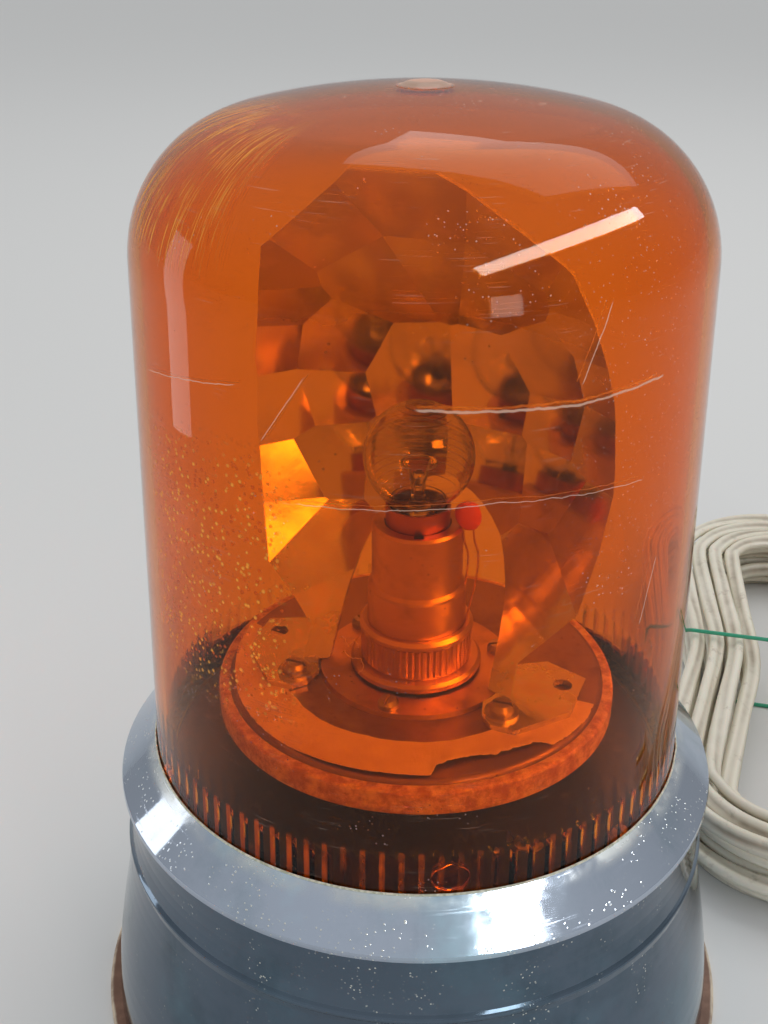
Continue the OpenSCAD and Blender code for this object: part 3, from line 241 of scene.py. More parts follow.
def amber_acrylic(colour, ribs):
    """Clear amber moulding with fine scratches, worn at the shoulder, dust on it, and painted light
    on the ribs inside the foot.
    """
    f = Finish("amber_acrylic")
    across, z, away = f.round_the_axis(0.068)
    shake = (f.noise(260.0, 3.0, 0.6) - 0.5) * 0.0011
    cuts = None
    for start, end, width in SCRATCHES:
        cut = scratch(across + shake, z + shake, start, end, width)
        cuts = cut if cuts is None else cuts.larger(cut)
    blotch = f.noise(60.0, 3.0, 0.6)
    fine = None
    for angle in (24.0, -52.0):
        laid = f.node(
            "ShaderNodeMapping",
            {},
            {
                "Vector": f.vector(across, z, away * 0.35),
                "Rotation": (0.0, 0.0, math.radians(angle)),
                "Scale": (70.0, 3200.0, 1.0),
            },
        )
        line = f.noise(1.0, 1.0, 0.4, at=laid).ramp(0.70, 0.73)
        fine = line if fine is None else fine.larger(line)
    fine = fine * blotch.ramp(0.46, 0.60)
    # Fine bright strokes that run down the shoulder on the left, closest together near the top
    strokes = f.noise(1.0, 1.0, 0.5, at=f.vector(across * 2600.0, z * 70.0, away * 70.0))
    strokes = (strokes + z.ramp(0.238, 0.251) * 0.06).ramp(0.58, 0.64)
    strokes = strokes * across.band(-0.106, -0.056, 0.014) * z.ramp(0.223, 0.229)
    strokes = strokes * away.ramp(0.026, 0.042) * blotch.ramp(0.30, 0.52)
    # Dust, thickest on the crown, and pits on the right shoulder
    dots = f.cells(760.0).ramp(0.17, 0.10)
    crown = z.ramp(0.2485, 0.2530)
    nib = z.ramp(0.2534, 0.2538) * 0.5
    right = across.band(0.035, 0.085, 0.015) * z.band(0.165, 0.238, 0.012)
    pits = dots * (blotch.ramp(0.58, 0.66) + right * 0.5 + crown * 0.7)
    grit = f.cells(620.0).ramp(0.34, 0.20) * f.noise(210.0, 2.0, 0.6).ramp(0.38, 0.50)
    grit = grit * across.band(-0.066, -0.038, 0.014) * z.band(0.138, 0.182, 0.014)
    # Painted light: the crests of the ribs inside the foot take a warm diffuse orange that stands
    # in for light caught in them, strongest at the front left
    wave = f.node("ShaderNodeMath", {"operation": "COSINE"}, (across * (ribs / 0.068),))
    rib_painted_glow = wave.ramp(0.30, 0.80) * z.band(0.0862, 0.0980, 0.0012) * away.ramp(0.0689, 0.0685)
    rib_painted_glow = rib_painted_glow * blotch.ramp(0.36, 0.58) * (0.35 + across.band(-0.052, -0.012, 0.016) * 0.65)
    acrylic = f.skin(
        Base_Color=f.mix(blotch.ramp(0.45, 0.75) * 0.2, colour, [c * 0.9 for c in colour]),
        Roughness=0.02 + blotch.ramp(0.45, 0.75) * 0.04,
        IOR=1.3,
        Transmission_Weight=1.0,
        Normal=f.bump(f.noise(11.0, 1.0), 0.00006, 0.6),
    )
    pale = f.skin(Base_Color=(0.98, 0.62, 0.45), Roughness=0.75)
    warm = f.skin(Base_Color=(1.0, 0.40, 0.03), Roughness=0.7)
    body = f.over((fine * 0.16).larger(cuts * 0.62).larger(pits * 0.5).larger(nib), acrylic, pale)
    # The strokes and grit are marks on the acrylic; the ribs' share of the warm orange is painted
    # light
    body = f.over((strokes * 0.85).larger(grit * 0.8).larger(rib_painted_glow * 0.65), body, warm)
    deep = f.node("ShaderNodeVolumeAbsorption", {}, {"Color": (0.947, 0.75, 0.0), "Density": 380.0})
    return f.done(body, deep)


def chrome_plate(name, colour, dull, stain, bare):
    """Old chrome: a cloudy film, runs, fine scratches, pin specks and lime near the dome."""
    f = Finish(name)
    across, z, away = f.round_the_axis(0.08)
    cloud = f.noise(34.0, 6.0, 0.66).ramp(0.44, 0.70)
    runs = f.noise(1.0, 3.0, 0.6, at=f.vector(across * 170.0, z * 26.0, away * 26.0))
    runs = runs.ramp(0.52, 0.70)
    pin = f.cells(820.0).ramp(0.25, 0.12) * f.noise(85.0, 3.0, 0.65).ramp(bare, bare + 0.14)
    hair = f.noise(1.0, 2.0, 0.5, at=f.vector(across * 60.0, z * 1500.0, away * 1500.0))
    hair = hair.ramp(0.64, 0.69)
    film = (cloud * 0.6 + runs * cloud * 0.4) * stain
    shade = f.mix(film * 0.8, colour, (colour[0] * 0.36, colour[1] * 0.5, colour[2] * 0.5))
    teal = (colour[0] * 1.1, colour[1] * 1.5, colour[2] * 1.45)
    shade = f.mix(f.noise(19.0, 5.0, 0.62).ramp(0.50, 0.72) * 0.55, shade, teal)
    lime = away.ramp(0.0738, 0.0712) * z.ramp(0.084, 0.086)
    pin = pin.larger(lime * f.noise(48.0, 4.0, 0.65).ramp(0.34, 0.62) * 0.7)
    shade = f.mix(pin * 0.85, shade, (0.74, 0.76, 0.69))
    return f.coat(
        Base_Color=shade,
        Metallic=1.0 - pin * 0.8,
        Roughness=dull + film * 0.26 + hair * 0.08 + pin * 0.3,
        Normal=f.bump(f.noise(9.0, 1.0) * 3.0 + film * 0.4 + pin, 0.00012, 0.4),
    )


def metal(name, colour, rough, grime=0.3, dark=(0.10, 0.08, 0.06), scale=1.0):
    """Machined or pressed metal with tool marks and grime in its hollows."""
    f = Finish(name)
    mark = f.noise(1.0, 3.0, 0.6, at=f.stretched(90.0 * scale, 90.0 * scale, 1400.0 * scale))
    blot = f.noise(70.0 * scale, 5.0, 0.62).ramp(0.45, 0.75)
    spot = f.cells(420.0 * scale).ramp(0.18, 0.08) * f.noise(90.0).ramp(0.5, 0.65)
    dirt = (blot * grime).larger(spot * grime * 1.4)
    return f.coat(
        Base_Color=f.mix(dirt, f.mix(mark * 0.35, colour, [c * 0.72 for c in colour]), dark),
        Metallic=1.0 - dirt * 0.75,
        Roughness=rough + mark * 0.125 + dirt * 0.35,
        Normal=f.bump(mark * 0.6 + blot * 0.3, 0.00006, 0.35),
    )


def moulded(name, colour, rough, fade=0.25, dirt_colour=(0.18, 0.14, 0.10)):
    """Plastic, rubber or paint with a fine grain, fading and dirt."""
    f = Finish(name)
    cloud = f.noise(38.0, 5.0, 0.6).ramp(0.4, 0.7)
    dust = f.noise(170.0, 4.0, 0.65).ramp(0.55, 0.75)
    faded = [c * 0.62 + 0.05 for c in colour]
    return f.coat(
        Base_Color=f.mix(dust * 0.35, f.mix(cloud * fade, colour, faded), dirt_colour),
        Roughness=rough + cloud * 0.15 + dust * 0.15,
        Normal=f.bump(f.noise(900.0, 3.0) + cloud * 0.5, 0.0001, 0.3),
    )


def mat_rubber():
    """Brown rubber with a pale band round its outer edge."""
    f = Finish("mat_rubber")
    _, _, away = f.round_the_axis(0.09)
    edge = (away + (f.noise(160.0, 3.0) - 0.5) * 0.0007).ramp(0.0893, 0.0899)
    rub = f.noise(60.0, 5.0, 0.65)
    return f.coat(
        Base_Color=f.mix(
            edge * rub.ramp(0.25, 0.6) * 0.85,
            f.mix(rub.ramp(0.4, 0.7), (0.19, 0.095, 0.06), (0.33, 0.18, 0.12)),
            (0.78, 0.66, 0.50),
        ),
        Roughness=0.62 + rub * 0.25,
        Normal=f.bump(f.noise(700.0, 3.0) + rub, 0.0002, 0.5),
    )


def mirror_plate():
    """Bright plating on facets: dull blotches, paler and less metallic towards the top, and dust
    towards the foot.
    """
    f = Finish("mirror_plate")
    z = f.axes()[2]
    blot = f.noise(42.0, 5.0, 0.62).ramp(0.45, 0.78)
    dull = f.noise(11.0, 3.0, 0.5).ramp(0.42, 0.68)
    spots = f.cells(330.0).ramp(0.2, 0.1) * f.noise(55.0, 2.0).ramp(0.55, 0.68)
    grime = z.ramp(0.150, 0.106) * 0.5 * f.noise(90.0, 4.0).ramp(0.3, 0.7)
    wear = (blot * 0.28).larger(spots * 0.7).larger(grime)
    paler_above = z.ramp(0.176, 0.212) * (0.48 + blot * 0.3)
    bright = f.mix(paler_above, (0.90, 0.90, 0.88), (0.97, 0.95, 0.92))
    return f.coat(
        Base_Color=f.mix(wear, bright, (0.40, 0.38, 0.34)),
        Metallic=(1.0 - wear * 0.7) * (1.0 - paler_above),
        Roughness=0.09 + dull * 0.13 + wear * 0.32,
        Normal=f.bump(f.noise(30.0, 2.0) + blot * 0.2, 0.0004, 0.25),
    )


def ring_rubber():
    """Coarse honey-coloured tyre round the table, with a little light in its depth."""
    f = Finish("ring_rubber")
    coarse = f.noise(260.0, 5.0, 0.7)
    return f.coat(
        Base_Color=f.mix(coarse.ramp(0.35, 0.65), (0.62, 0.36, 0.10), (0.98, 0.80, 0.46)),
        Roughness=0.5 + coarse * 0.3,
        Subsurface_Weight=0.25,
        Subsurface_Scale=0.003,
        Normal=f.bump(coarse, 0.0007, 0.9),
    )


def old_paper():
    """Plain paper, scuffed, with pale fibres at its torn edge."""
    f = Finish("old_paper")
    fibre = f.noise(1.0, 4.0, 0.7, at=f.stretched(700.0, 240.0, 300.0))
    blot = f.noise(48.0, 5.0, 0.6)
    torn = f.node("ShaderNodeAttribute", {"attribute_name": "torn"}, out="Fac")
    lit = f.mix(blot.ramp(0.35, 0.7) * 0.6, (0.93, 0.82, 0.66), (0.74, 0.58, 0.42))
    return f.coat(
        Base_Color=f.mix(torn, lit, (0.99, 0.93, 0.80)),
        Roughness=0.72 + fibre * 0.2,
        Normal=f.bump(fibre + blot * 1.5, 0.0003, 0.6),
    )


def flex_vinyl():
    """Soft ivory vinyl, darker brown along the groove between its two cores."""
    f = Finish("flex_vinyl")
    groove = f.node("ShaderNodeAttribute", {"attribute_name": "groove"}, out="Fac")
    cloud = f.noise(24.0, 5.0, 0.62).ramp(0.38, 0.72)
    smut = f.noise(150.0, 5.0, 0.7).ramp(0.56, 0.74)
    base = f.mix(cloud * 0.6, (0.84, 0.79, 0.66), (0.66, 0.59, 0.45))
    # Darker brown along the groove between the cores
    base = f.mix(groove * 0.65 * (0.4 + cloud), base, (0.30, 0.23, 0.16))
    return f.coat(
        Base_Color=f.mix(smut * 0.45, base, (0.27, 0.21, 0.15)),
        Roughness=0.34 + cloud * 0.16 + smut * 0.25,
        Subsurface_Weight=0.08,
        Subsurface_Scale=0.002,
        Normal=f.bump(f.noise(500.0, 3.0) * 0.4 + smut, 0.00012, 0.35),
    )


def clear_glass(name, tint, rough=0.01):
    f = Finish(name)
    film = f.noise(90.0, 4.0, 0.6).ramp(0.5, 0.75)
    return f.coat(
        Base_Color=f.mix(film * 0.2, tint, [c * 0.8 for c in tint]),
        Roughness=rough + film * 0.05,
        IOR=1.5,
        Transmission_Weight=1.0,
    )


def verdigris():
    """Chalky pale green crust along the joint of dome and bezel."""
    f = Finish("verdigris")
    crumb = f.noise(800.0, 4.0, 0.7)
    return f.coat(
        Base_Color=f.mix(crumb.ramp(0.35, 0.65), (0.50, 0.52, 0.38), (0.86, 0.84, 0.70)),
        Roughness=0.85,
        Normal=f.bump(crumb, 0.0003, 0.8),
    )


def studio_floor(colour):
    f = Finish("studio_floor")
    grain = f.noise(3.0, 3.0, 0.5)
    dim = [c * 0.97 for c in colour]
    return f.coat(Base_Color=f.mix(grain * 0.25, colour, dim), Roughness=0.7)


# Modelling by hand

# Above this slope a tube's section is set by the Y axis, because Z no longer tells its side
STEEP = 0.95


def mode(name):
    bpy.ops.object.mode_set(mode=name)


def clear():
    """Back to object mode with nothing selected."""
    if bpy.context.object and bpy.context.object.mode != "OBJECT":
        mode("OBJECT")
    bpy.ops.object.select_all(action="DESELECT")


def only(piece):
    clear()
    piece.select_set(True)
    bpy.context.view_layer.objects.active = piece


def settle(piece, name, angle, body):
    """Names a piece, puts its place into its mesh, turns its faces out and smooths it."""
    only(piece)
    piece.name = name
    bpy.ops.object.transform_apply()
    mode("EDIT")
    bpy.ops.mesh.select_all(action="SELECT")
    bpy.ops.mesh.remove_doubles(threshold=0.000004)
    bpy.ops.mesh.normals_make_consistent(inside=False)
    mode("OBJECT")
    bpy.ops.object.shade_smooth_by_angle(angle=math.radians(angle))
    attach(piece, body)
    return piece


def select_where(elements, test):
    """Selects the vertices or faces that pass a test, and stays in object mode."""
    mode("EDIT")
    bpy.ops.mesh.select_all(action="DESELECT")
    mode("OBJECT")
    for element in elements:
        element.select = test(element)


def draw_out(line, steps, pole=False):
    """A circle drawn out ring by ring along a line of (radius, height) in mm.

    With pole set the last ring closes to one point.
    """
    r0, z0 = line[0]
    bpy.ops.mesh.primitive_circle_add(vertices=steps, radius=r0 * MM, location=(0.0, 0.0, z0 * MM))
    piece = bpy.context.object
    bpy.ops.object.transform_apply()
    mode("EDIT")
    bpy.ops.mesh.select_all(action="SELECT")
    for (ra, za), (rb, zb) in zip(line, line[1:]):
        rise = (0.0, 0.0, (zb - za) * MM)
        bpy.ops.mesh.extrude_region_move(TRANSFORM_OT_translate={"value": rise})
        k = rb / ra
        bpy.ops.transform.resize(value=(k, k, 1.0), center_override=(0.0, 0.0, zb * MM))
    if pole:
        bpy.ops.mesh.merge(type="CENTER")
    mode("OBJECT")
    return piece


def turned(name, line, steps, body, angle):
    """A closed ring turned from a closed line of (radius, height) in mm."""
    clear()
    return settle(draw_out(line + line[:1], steps), name, angle, body)


def join(first, *others):
    only(first)
    for other in others:
        other.select_set(True)
    bpy.ops.object.join()
    return first


def arc(cx, cz, r, end, n):
    """Points on a circle from the angle 0 up to end, in degrees."""
    turns = [math.radians(end) * i / n for i in range(n + 1)]
    return [(cx + r * math.cos(a), cz + r * math.sin(a)) for a in turns]


def smooth_line(points, steps):
    """A smooth line through chosen points, with steps pieces between two of them."""
    pts = [Vector(p) for p in points]
    line = []
    for i in range(len(pts) - 1):
        a, b, c, d = pts[max(i - 1, 0)], pts[i], pts[i + 1], pts[min(i + 2, len(pts) - 1)]
        for j in range(steps):
            t = j / steps
            line.append(
                0.5 * (2 * b + (c - a) * t + (2 * a - 5 * b + 4 * c - d) * t * t
                       + (3 * b - a - 3 * c + d) * t * t * t)
            )
    return line + [pts[-1]]


def mesh_piece(name, points, faces):
    mesh = bpy.data.meshes.new(name)
    mesh.from_pydata([tuple(p) for p in points], [], faces)
    piece = bpy.data.objects.new(name, mesh)
    bpy.context.scene.collection.objects.link(piece)
    return piece


def tube(name, line, section, turns=None):
    """A tube in mm along a line, with closed ends. Its section, a list of (across, up), rolls by
    the angle that turns gives for each point of the line."""
    n, m = len(line), len(section)
    points, faces = [], []
    for i, p in enumerate(line):
        way = (line[min(i + 1, n - 1)] - line[max(i - 1, 0)]).normalized()
        level = Vector((0, 0, 1)) if abs(way.z) < STEEP else Vector((0, 1, 0))
        side = way.cross(level).normalized()
        up = side.cross(way)
        turn = turns[i] if turns else 0.0
        c, s = math.cos(turn), math.sin(turn)
        for a, b in section:
            points.append((p + (a * c - b * s) * side + (a * s + b * c) * up) * MM)
    for i in range(n - 1):
        for k in range(m):
            a, b = i * m + k, i * m + (k + 1) % m
            faces.append((a, b, b + m, a + m))
    faces += [tuple(reversed(range(m))), tuple(range((n - 1) * m, n * m))]
    return mesh_piece(name, points, faces)


def circle_section(r, n):
    turns = [2 * math.pi * (k + 0.5) / n for k in range(n)]
    return [(r * math.cos(a), r * math.sin(a)) for a in turns]


# The flex's route, as in the parts' source, in mm

FLEX_D = 6.4
HANK_AT = Vector((148.0, 125.0, 0.0))
HANK_TURN = math.radians(-14.0)
HANK_RUN, HANK_W, HANK_STEP, HANK_WAIST = 75.0, 42.0, 7.2, 8.0
LAYERS, LAYER_LOOPS = 4, 3
# Points in one loop, in each of its two round ends and in each of its two straight runs
RINGS, ARC_RINGS, RUN_RINGS = 24, 8, 4
HANK_Z = FLEX_D / 2 + 0.1
CORD_LIFT = 1.7
EXIT_AT, EXIT_H, GLAND_OUT = math.radians(50.0), 14.0, 108.397
LEAD_ROUTE = [(83, 99, 11), (92, 109, 6.8), (100, 117.2, 5), (107, 126, 4.8)]
TAIL_ROUTE = [(40, -16, 26), (45, -28, 21), (52, -40, 13), (58, -52, 8)]
PLUG_AT = Vector((60.0, -66.0, 7.0))
SHORTEST_STEP = 0.6
# The roll of the two cores in radians: a long wave, and a short one with its length in mm
LONG_ROLL, SHORT_ROLL, SHORT_WAVE = 0.9, 0.5, 47.0
CORE_SHARE, CORE_POINTS, CORE_OPEN = 0.56, 7, 128.0


def to_world(p):
    p = Vector(p)
    c, s = math.cos(HANK_TURN), math.sin(HANK_TURN)
    return HANK_AT + Vector((p.x * c - p.y * s, p.x * s + p.y * c, p.z))


def hank_point(i):
    """Point i of the hank, which is wound out and in, layer on layer, round two ends."""
    layer_rings = LAYER_LOOPS * RINGS
    layer, k = divmod(i, layer_rings)
    share = k / RINGS
    if layer >= LAYERS:
        w, z = HANK_W + HANK_STEP * share, HANK_Z + (LAYERS - 1) * HANK_STEP
    else:
        w = HANK_W - HANK_STEP * (share if layer % 2 == 0 else LAYER_LOOPS - share)
        z = HANK_Z + (0 if layer == 0 else (layer - 1 + min(1.0, k / (RUN_RINGS / 2))) * HANK_STEP)
    j, half = i % RINGS, RUN_RINGS / 2
    if j < half:
        x, y = -w, HANK_RUN * j / half
    elif j < half + ARC_RINGS:
        a = math.pi - math.pi * (j - half) / ARC_RINGS
        x, y = w * math.cos(a), HANK_RUN + w * math.sin(a)
    elif j < 3 * half + ARC_RINGS:
        x, y = w, HANK_RUN * (1 - (j - half - ARC_RINGS) / half)
    elif j < 3 * half + 2 * ARC_RINGS:
        a = -math.pi * (j - 3 * half - ARC_RINGS) / ARC_RINGS
        x, y = w * math.cos(a), -HANK_RUN + w * math.sin(a)
    else:
        x, y = -w, -HANK_RUN * (RINGS - j) / half
    if abs(y) < HANK_RUN:
        dip = (1 + math.cos(math.pi * y / HANK_RUN)) / 2
        x -= math.copysign(HANK_WAIST * dip, x)
        z += CORD_LIFT * dip
    return Vector((x, y, z))


def flex_line():
    """The whole free flex, from the gland's mouth to the plug."""
    total = LAYERS * LAYER_LOOPS * RINGS + RINGS // 2
    way = Vector((math.cos(EXIT_AT), math.sin(EXIT_AT), 0.0))
    mouth = GLAND_OUT * way + Vector((0, 0, EXIT_H))
    # The first and last runs have extra points, so that the ends come in on an easy curve
    hank = [0.2, 0.66, 1.25, *range(2, total), total - 0.5, total - 0.1]
    lead = [mouth, mouth + FLEX_D * way, *map(Vector, LEAD_ROUTE)]
    tail = [*map(Vector, TAIL_ROUTE), PLUG_AT + Vector((0, FLEX_D, 0)), PLUG_AT]
    points = lead + [to_world(hank_point(i)) for i in hank] + [to_world(p) for p in tail]
    return smooth_line(points, 4)


# Sizes and colours that a user would change


class DomeSizes(bpy.types.PropertyGroup):
    colour: FloatVectorProperty(
        name="Colour", description="Tint of the dome's acrylic", subtype="COLOR", size=3,
        min=0, max=1, default=(1.0, 0.50, 0.08),
    )
    flutes: IntProperty(
        name="Flutes", description="Moulded ribs round the inside of the foot", default=96,
        min=24, max=160,
    )
    flute_depth: FloatProperty(
        name="Flute depth", description="How far a rib stands in", default=0.0012, unit="LENGTH",
        precision=5,
    )


class FlexSizes(bpy.types.PropertyGroup):
    width: FloatProperty(
        name="Width", description="Width of the twin flex", default=FLEX_D * MM, unit="LENGTH",
        precision=5,
    )
    twist: FloatProperty(
        name="Twist length", description="Length over which the flex rolls once", default=0.19,
        unit="LENGTH",
    )


class StageSizes(bpy.types.PropertyGroup):
    floor_colour: FloatVectorProperty(
        name="Floor", description="Colour of the floor", subtype="COLOR", size=3, min=0, max=1,
        default=(0.74, 0.74, 0.73),
    )
    light: FloatProperty(
        name="Light", description="Strength of the soft lamps", default=1.0, min=0, max=10
    )
    horizon: FloatProperty(
        name="Horizon", description="Brightness of the surroundings low down", default=0.40
    )
    zenith: FloatProperty(
        name="Overhead", description="Brightness of the surroundings overhead", default=0.72
    )


# The dome's outline in mm

DOME_LOW, DOME_FOOT, DOME_SHOULDER, DOME_TOP, DOME_WALL = 81.6, 70.1, 66.6, 253.6, 2.6
CORNER_R, CROWN_R = 32.5, 180.0
SEAT_TOP = 84.8
# (radius, height over DOME_LOW) of the flange, and (radius, height over DOME_TOP) of the nib
FLANGE = ((72.0, 0.0), (74.3, 0.0), (74.75, 0.5), (73.2, 1.9), (72.2, 2.6), (70.6, 2.8))
NIB = ((6.4, -0.08), (5.4, 0.12), (4.6, 0.5), (3.8, 0.78), (2.6, 0.9), (0.05, 0.9))
LINING_HEIGHTS = (
    84.6, 85.6, 87.5, 90.0, 93.0, 96.0, 98.4, 99.6, 108.0, 120.0, 135.0, 150.0, 170.0, 195.0,
)
# The ribs' height and radius, and how far out the columns of the lining between two ribs go
RIB_LOW, RIB_HIGH, RIB_MIDDLE, RIB_R = 85.3, 99.0, 90.0, 67.3
RIB_COLUMNS = ((1.0, (2,)), (0.55, (1, 3)))

# The paper ring: turn in degrees, then its outer radius or its lift in mm

PAPER_INNER, PAPER_OUTER, PAPER_Z, PAPER_T = 35.5, 48.4, 105.03, 0.22
PAPER_START, PAPER_END, PAPER_COLUMNS, PAPER_BANDS = -200.0, -23.0, 720, 12
PAPER_RIM = (
    (-200.0, 48.4), (-87.0, 48.5), (-85.0, 44.9), (-79.0, 43.6), (-72.0, 42.9), (-68.0, 44.1),
    (-60.0, 44.4), (-50.0, 45.9), (-48.0, 48.4), (-30.0, 49.2), (-23.0, 49.0),
)
PAPER_LIFT = (
    (-200.0, 2.2), (-186.0, 2.6), (-174.0, 1.4), (-164.0, 0.05), (-132.0, 0.05), (-120.0, 0.5),
    (-100.0, 0.9), (-88.0, 0.7), (-80.0, 1.1), (-66.0, 0.7), (-54.0, 1.0), (-47.0, 0.05),
    (-23.0, 0.05),
)
PAPER_HEM = (
    (-200.0, 0.3), (-168.0, 0.0), (-130.0, 0.0), (-110.0, 0.5), (-85.0, 0.3), (-60.0, 0.5),
    (-50.0, 0.0), (-23.0, 0.0),
)
# The torn part of the rim starts here. Its edge is ragged and its last bands show pale fibres
TORN_FROM, TORN_BANDS = -87.0, 1.6

# Small trim, in mm and degrees

PIP_AT, PIP_TURN, PIP_R, PIP_T = (66.1, 90.5), 5.8, 4.0, 1.6
CRUST = [(70.16, 88.2), (70.62, 88.62), (70.55, 88.95), (70.30, 89.05), (70.13, 88.9)]
SUPPRESSOR_AT, SUPPRESSOR_TURN = Vector((12.6, -3.5, 151.2)), -24.0
SUPPRESSOR_R, SUPPRESSOR_FORM, LEG_APART, LEG_R = 3.6, (1.0, 0.42, 1.12), 1.3, 0.28
LEG_ROUTE = (
    (0, 0, -3), (0.4, 0.2, -7), (1.6, 1.0, -12), (1.2, 1.5, -20), (-0.4, 1.0, -28),
    (-1.0, 0.5, -31.4),
)
THREAD_R, THREAD_SEED = 0.11, 1
THREAD_ROUTES = (
    (
        (-20.3, -1.8, 114), (-19.2, -3.5, 115.5), (-17.9, -5, 113.5), (-16.3, -5.6, 115.8),
        (-15.3, -6.5, 114),
    ),
    (
        (-19.6, -4.4, 111.5), (-18.8, -6.2, 112.5), (-17.2, -7.4, 111.4), (-14.6, -9.8, 112.6),
        (-14, -12, 111), (-15, -12.6, 110),
    ),
)


def wave_at(*place):
    """Smooth noise from -1 to 1 at a place."""
    return noise.noise(Vector(place))


def at_turn(table, turn):
    """A value read off a table of (turn, value) along a straight line between its rows."""
    for (a, low), (b, high) in zip(table, table[1:]):
        if turn <= b:
            return low + (high - low) * max(0.0, turn - a) / (b - a)
    return table[-1][1]


# Operators

# Name, turn from the front towards +X and rise in degrees, distance, width and height in metres,
# radiance. The strip is a bright window for gloss alone, so that the floor isn't lit by it too.
SOFT_BOXES = (
    ("roof_strip", 62.0, 39.0, 1.21, 1.7, 0.15, 20.0),
    ("side_box", -99.0, -1.0, 0.45, 0.095, 0.30, 1.8),
    ("front_card", 28.0, 8.0, 1.3, 0.26, 0.30, 5.0),
    ("overhead", 150.0, 56.0, 1.6, 1.5, 1.0, 1.4),
)
LIT_MIDDLE = Vector((0.0, 0.0, 0.19))
FLOOR_WIDTH = 14.0

# The photograph's camera
CAMERA_AT = (-0.00865, -0.2832, 0.2926)
CAMERA_DIP, CAMERA_ROLL = 26.72, 0.16
SENSOR, FOCAL_PIXELS, TALL_PIXELS = 36.0, 1250.0, 1024.0


class BEACON_OT_stage(bpy.types.Operator):
    """Floor, soft lamps, surroundings and the camera at the photograph's angle"""

    bl_idname = "beacon.stage"
    bl_label = "Set the stage"

    def execute(self, context):
        sizes = context.scene.beacon_stage
        clear()
        bpy.ops.mesh.primitive_plane_add(size=FLOOR_WIDTH, location=(0.0, 0.0, 0.0))
        floor = context.object
        floor.name = "floor"
        floor.data.materials.append(studio_floor(sizes.floor_colour))
        for name, turn, rise, away, wide, high, glow in SOFT_BOXES:
            lamp = bpy.data.lights.new(name, "AREA")
            lamp.shape = "RECTANGLE"
            lamp.size, lamp.size_y = wide, high
            lamp.energy = glow * sizes.light * math.pi * wide * high
            a, b = math.radians(turn), math.radians(rise)
            way = Vector((math.sin(a) * math.cos(b), -math.cos(a) * math.cos(b), math.sin(b)))
            holder = bpy.data.objects.new(name, lamp)
            holder.location = LIT_MIDDLE + away * way
            holder.rotation_euler = (-way).to_track_quat("-Z", "Y").to_euler()
            holder.visible_camera = False
            holder.visible_diffuse = name != "roof_strip"
            holder.visible_transmission = name != "side_box"
            context.scene.collection.objects.link(holder)
        self.surround(context, sizes)
        context.scene.view_settings.view_transform = "Standard"
        lens = bpy.data.cameras.new("camera")
        lens.sensor_width = SENSOR
        lens.lens = FOCAL_PIXELS * SENSOR / TALL_PIXELS
        lens.clip_start = 0.01
        eye = bpy.data.objects.new("camera", lens)
        eye.matrix_world = (
            Matrix.Translation(CAMERA_AT)
            @ Matrix.Rotation(math.radians(90.0 - CAMERA_DIP), 4, "X")
            @ Matrix.Rotation(math.radians(CAMERA_ROLL), 4, "Z")
        )
        context.scene.collection.objects.link(eye)
        context.scene.camera = eye
        return {"FINISHED"}

    def surround(self, context, sizes):
        """Pale surroundings that brighten from the horizon up."""
        world = bpy.data.worlds.new("surroundings")
        context.scene.world = world
        world.use_nodes = True
        tree = world.node_tree
        tree.nodes.clear()
        place = tree.nodes.new("ShaderNodeTexCoord")
        split = tree.nodes.new("ShaderNodeSeparateXYZ")
        level = tree.nodes.new("ShaderNodeMapRange")
        level.interpolation_type = "SMOOTHSTEP"
        level.inputs["To Min"].default_value = sizes.horizon
        level.inputs["To Max"].default_value = sizes.zenith
        back = tree.nodes.new("ShaderNodeBackground")
        back.inputs["Color"].default_value = (0.97, 0.985, 1.0, 1.0)
        out = tree.nodes.new("ShaderNodeOutputWorld")
        tree.links.new(place.outputs["Generated"], split.inputs[0])
        tree.links.new(split.outputs["Z"], level.inputs["Value"])
        tree.links.new(level.outputs[0], back.inputs["Strength"])
        tree.links.new(back.outputs[0], out.inputs["Surface"])


class BEACON_OT_flex(bpy.types.Operator):
    """The twin flex in one length, from the gland through the hank to the plug"""

    bl_idname = "beacon.flex"
    bl_label = "Model the flex"

    def execute(self, context):
        sizes = context.scene.beacon_flex
        line = flex_line()
        clean = [line[0]]
        for p in line[1:]:
            if (p - clean[-1]).length > SHORTEST_STEP:
                clean.append(p)
        run = [0.0]
        for a, b in zip(clean, clean[1:]):
            run.append(run[-1] + (b - a).length)
        core = sizes.width / MM / 2 * CORE_SHARE
        off = sizes.width / MM / 2 - core
        section = []
        for side in (1, -1):
            for k in range(CORE_POINTS):
                a = math.radians(CORE_OPEN * (2 * k / (CORE_POINTS - 1) - 1))
                section.append((side * (off + core * math.cos(a)), side * core * math.sin(a)))
        long_wave = sizes.twist / MM / (2 * math.pi)
        rolls = [
            LONG_ROLL * math.sin(r / long_wave) + SHORT_ROLL * math.sin(r / SHORT_WAVE) for r in run
        ]
        flex = tube("flex", clean, section, rolls)
        groove = flex.data.attributes.new("groove", "FLOAT", "POINT")
        ends = (0, CORE_POINTS - 1, CORE_POINTS, 2 * CORE_POINTS - 1)
        marks = [float(v % len(section) in ends) for v in range(len(flex.data.vertices))]
        groove.data.foreach_set("value", marks)
        only(flex)
        bpy.ops.object.shade_smooth_by_angle(angle=math.radians(50))
        flex.data.materials.append(flex_vinyl())
        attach(flex, "base")
        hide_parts("cord_lead", "cord_hank", "cord_tail")
        clean[0] * MM
        [p * MM for p in clean]
        return {"FINISHED"}


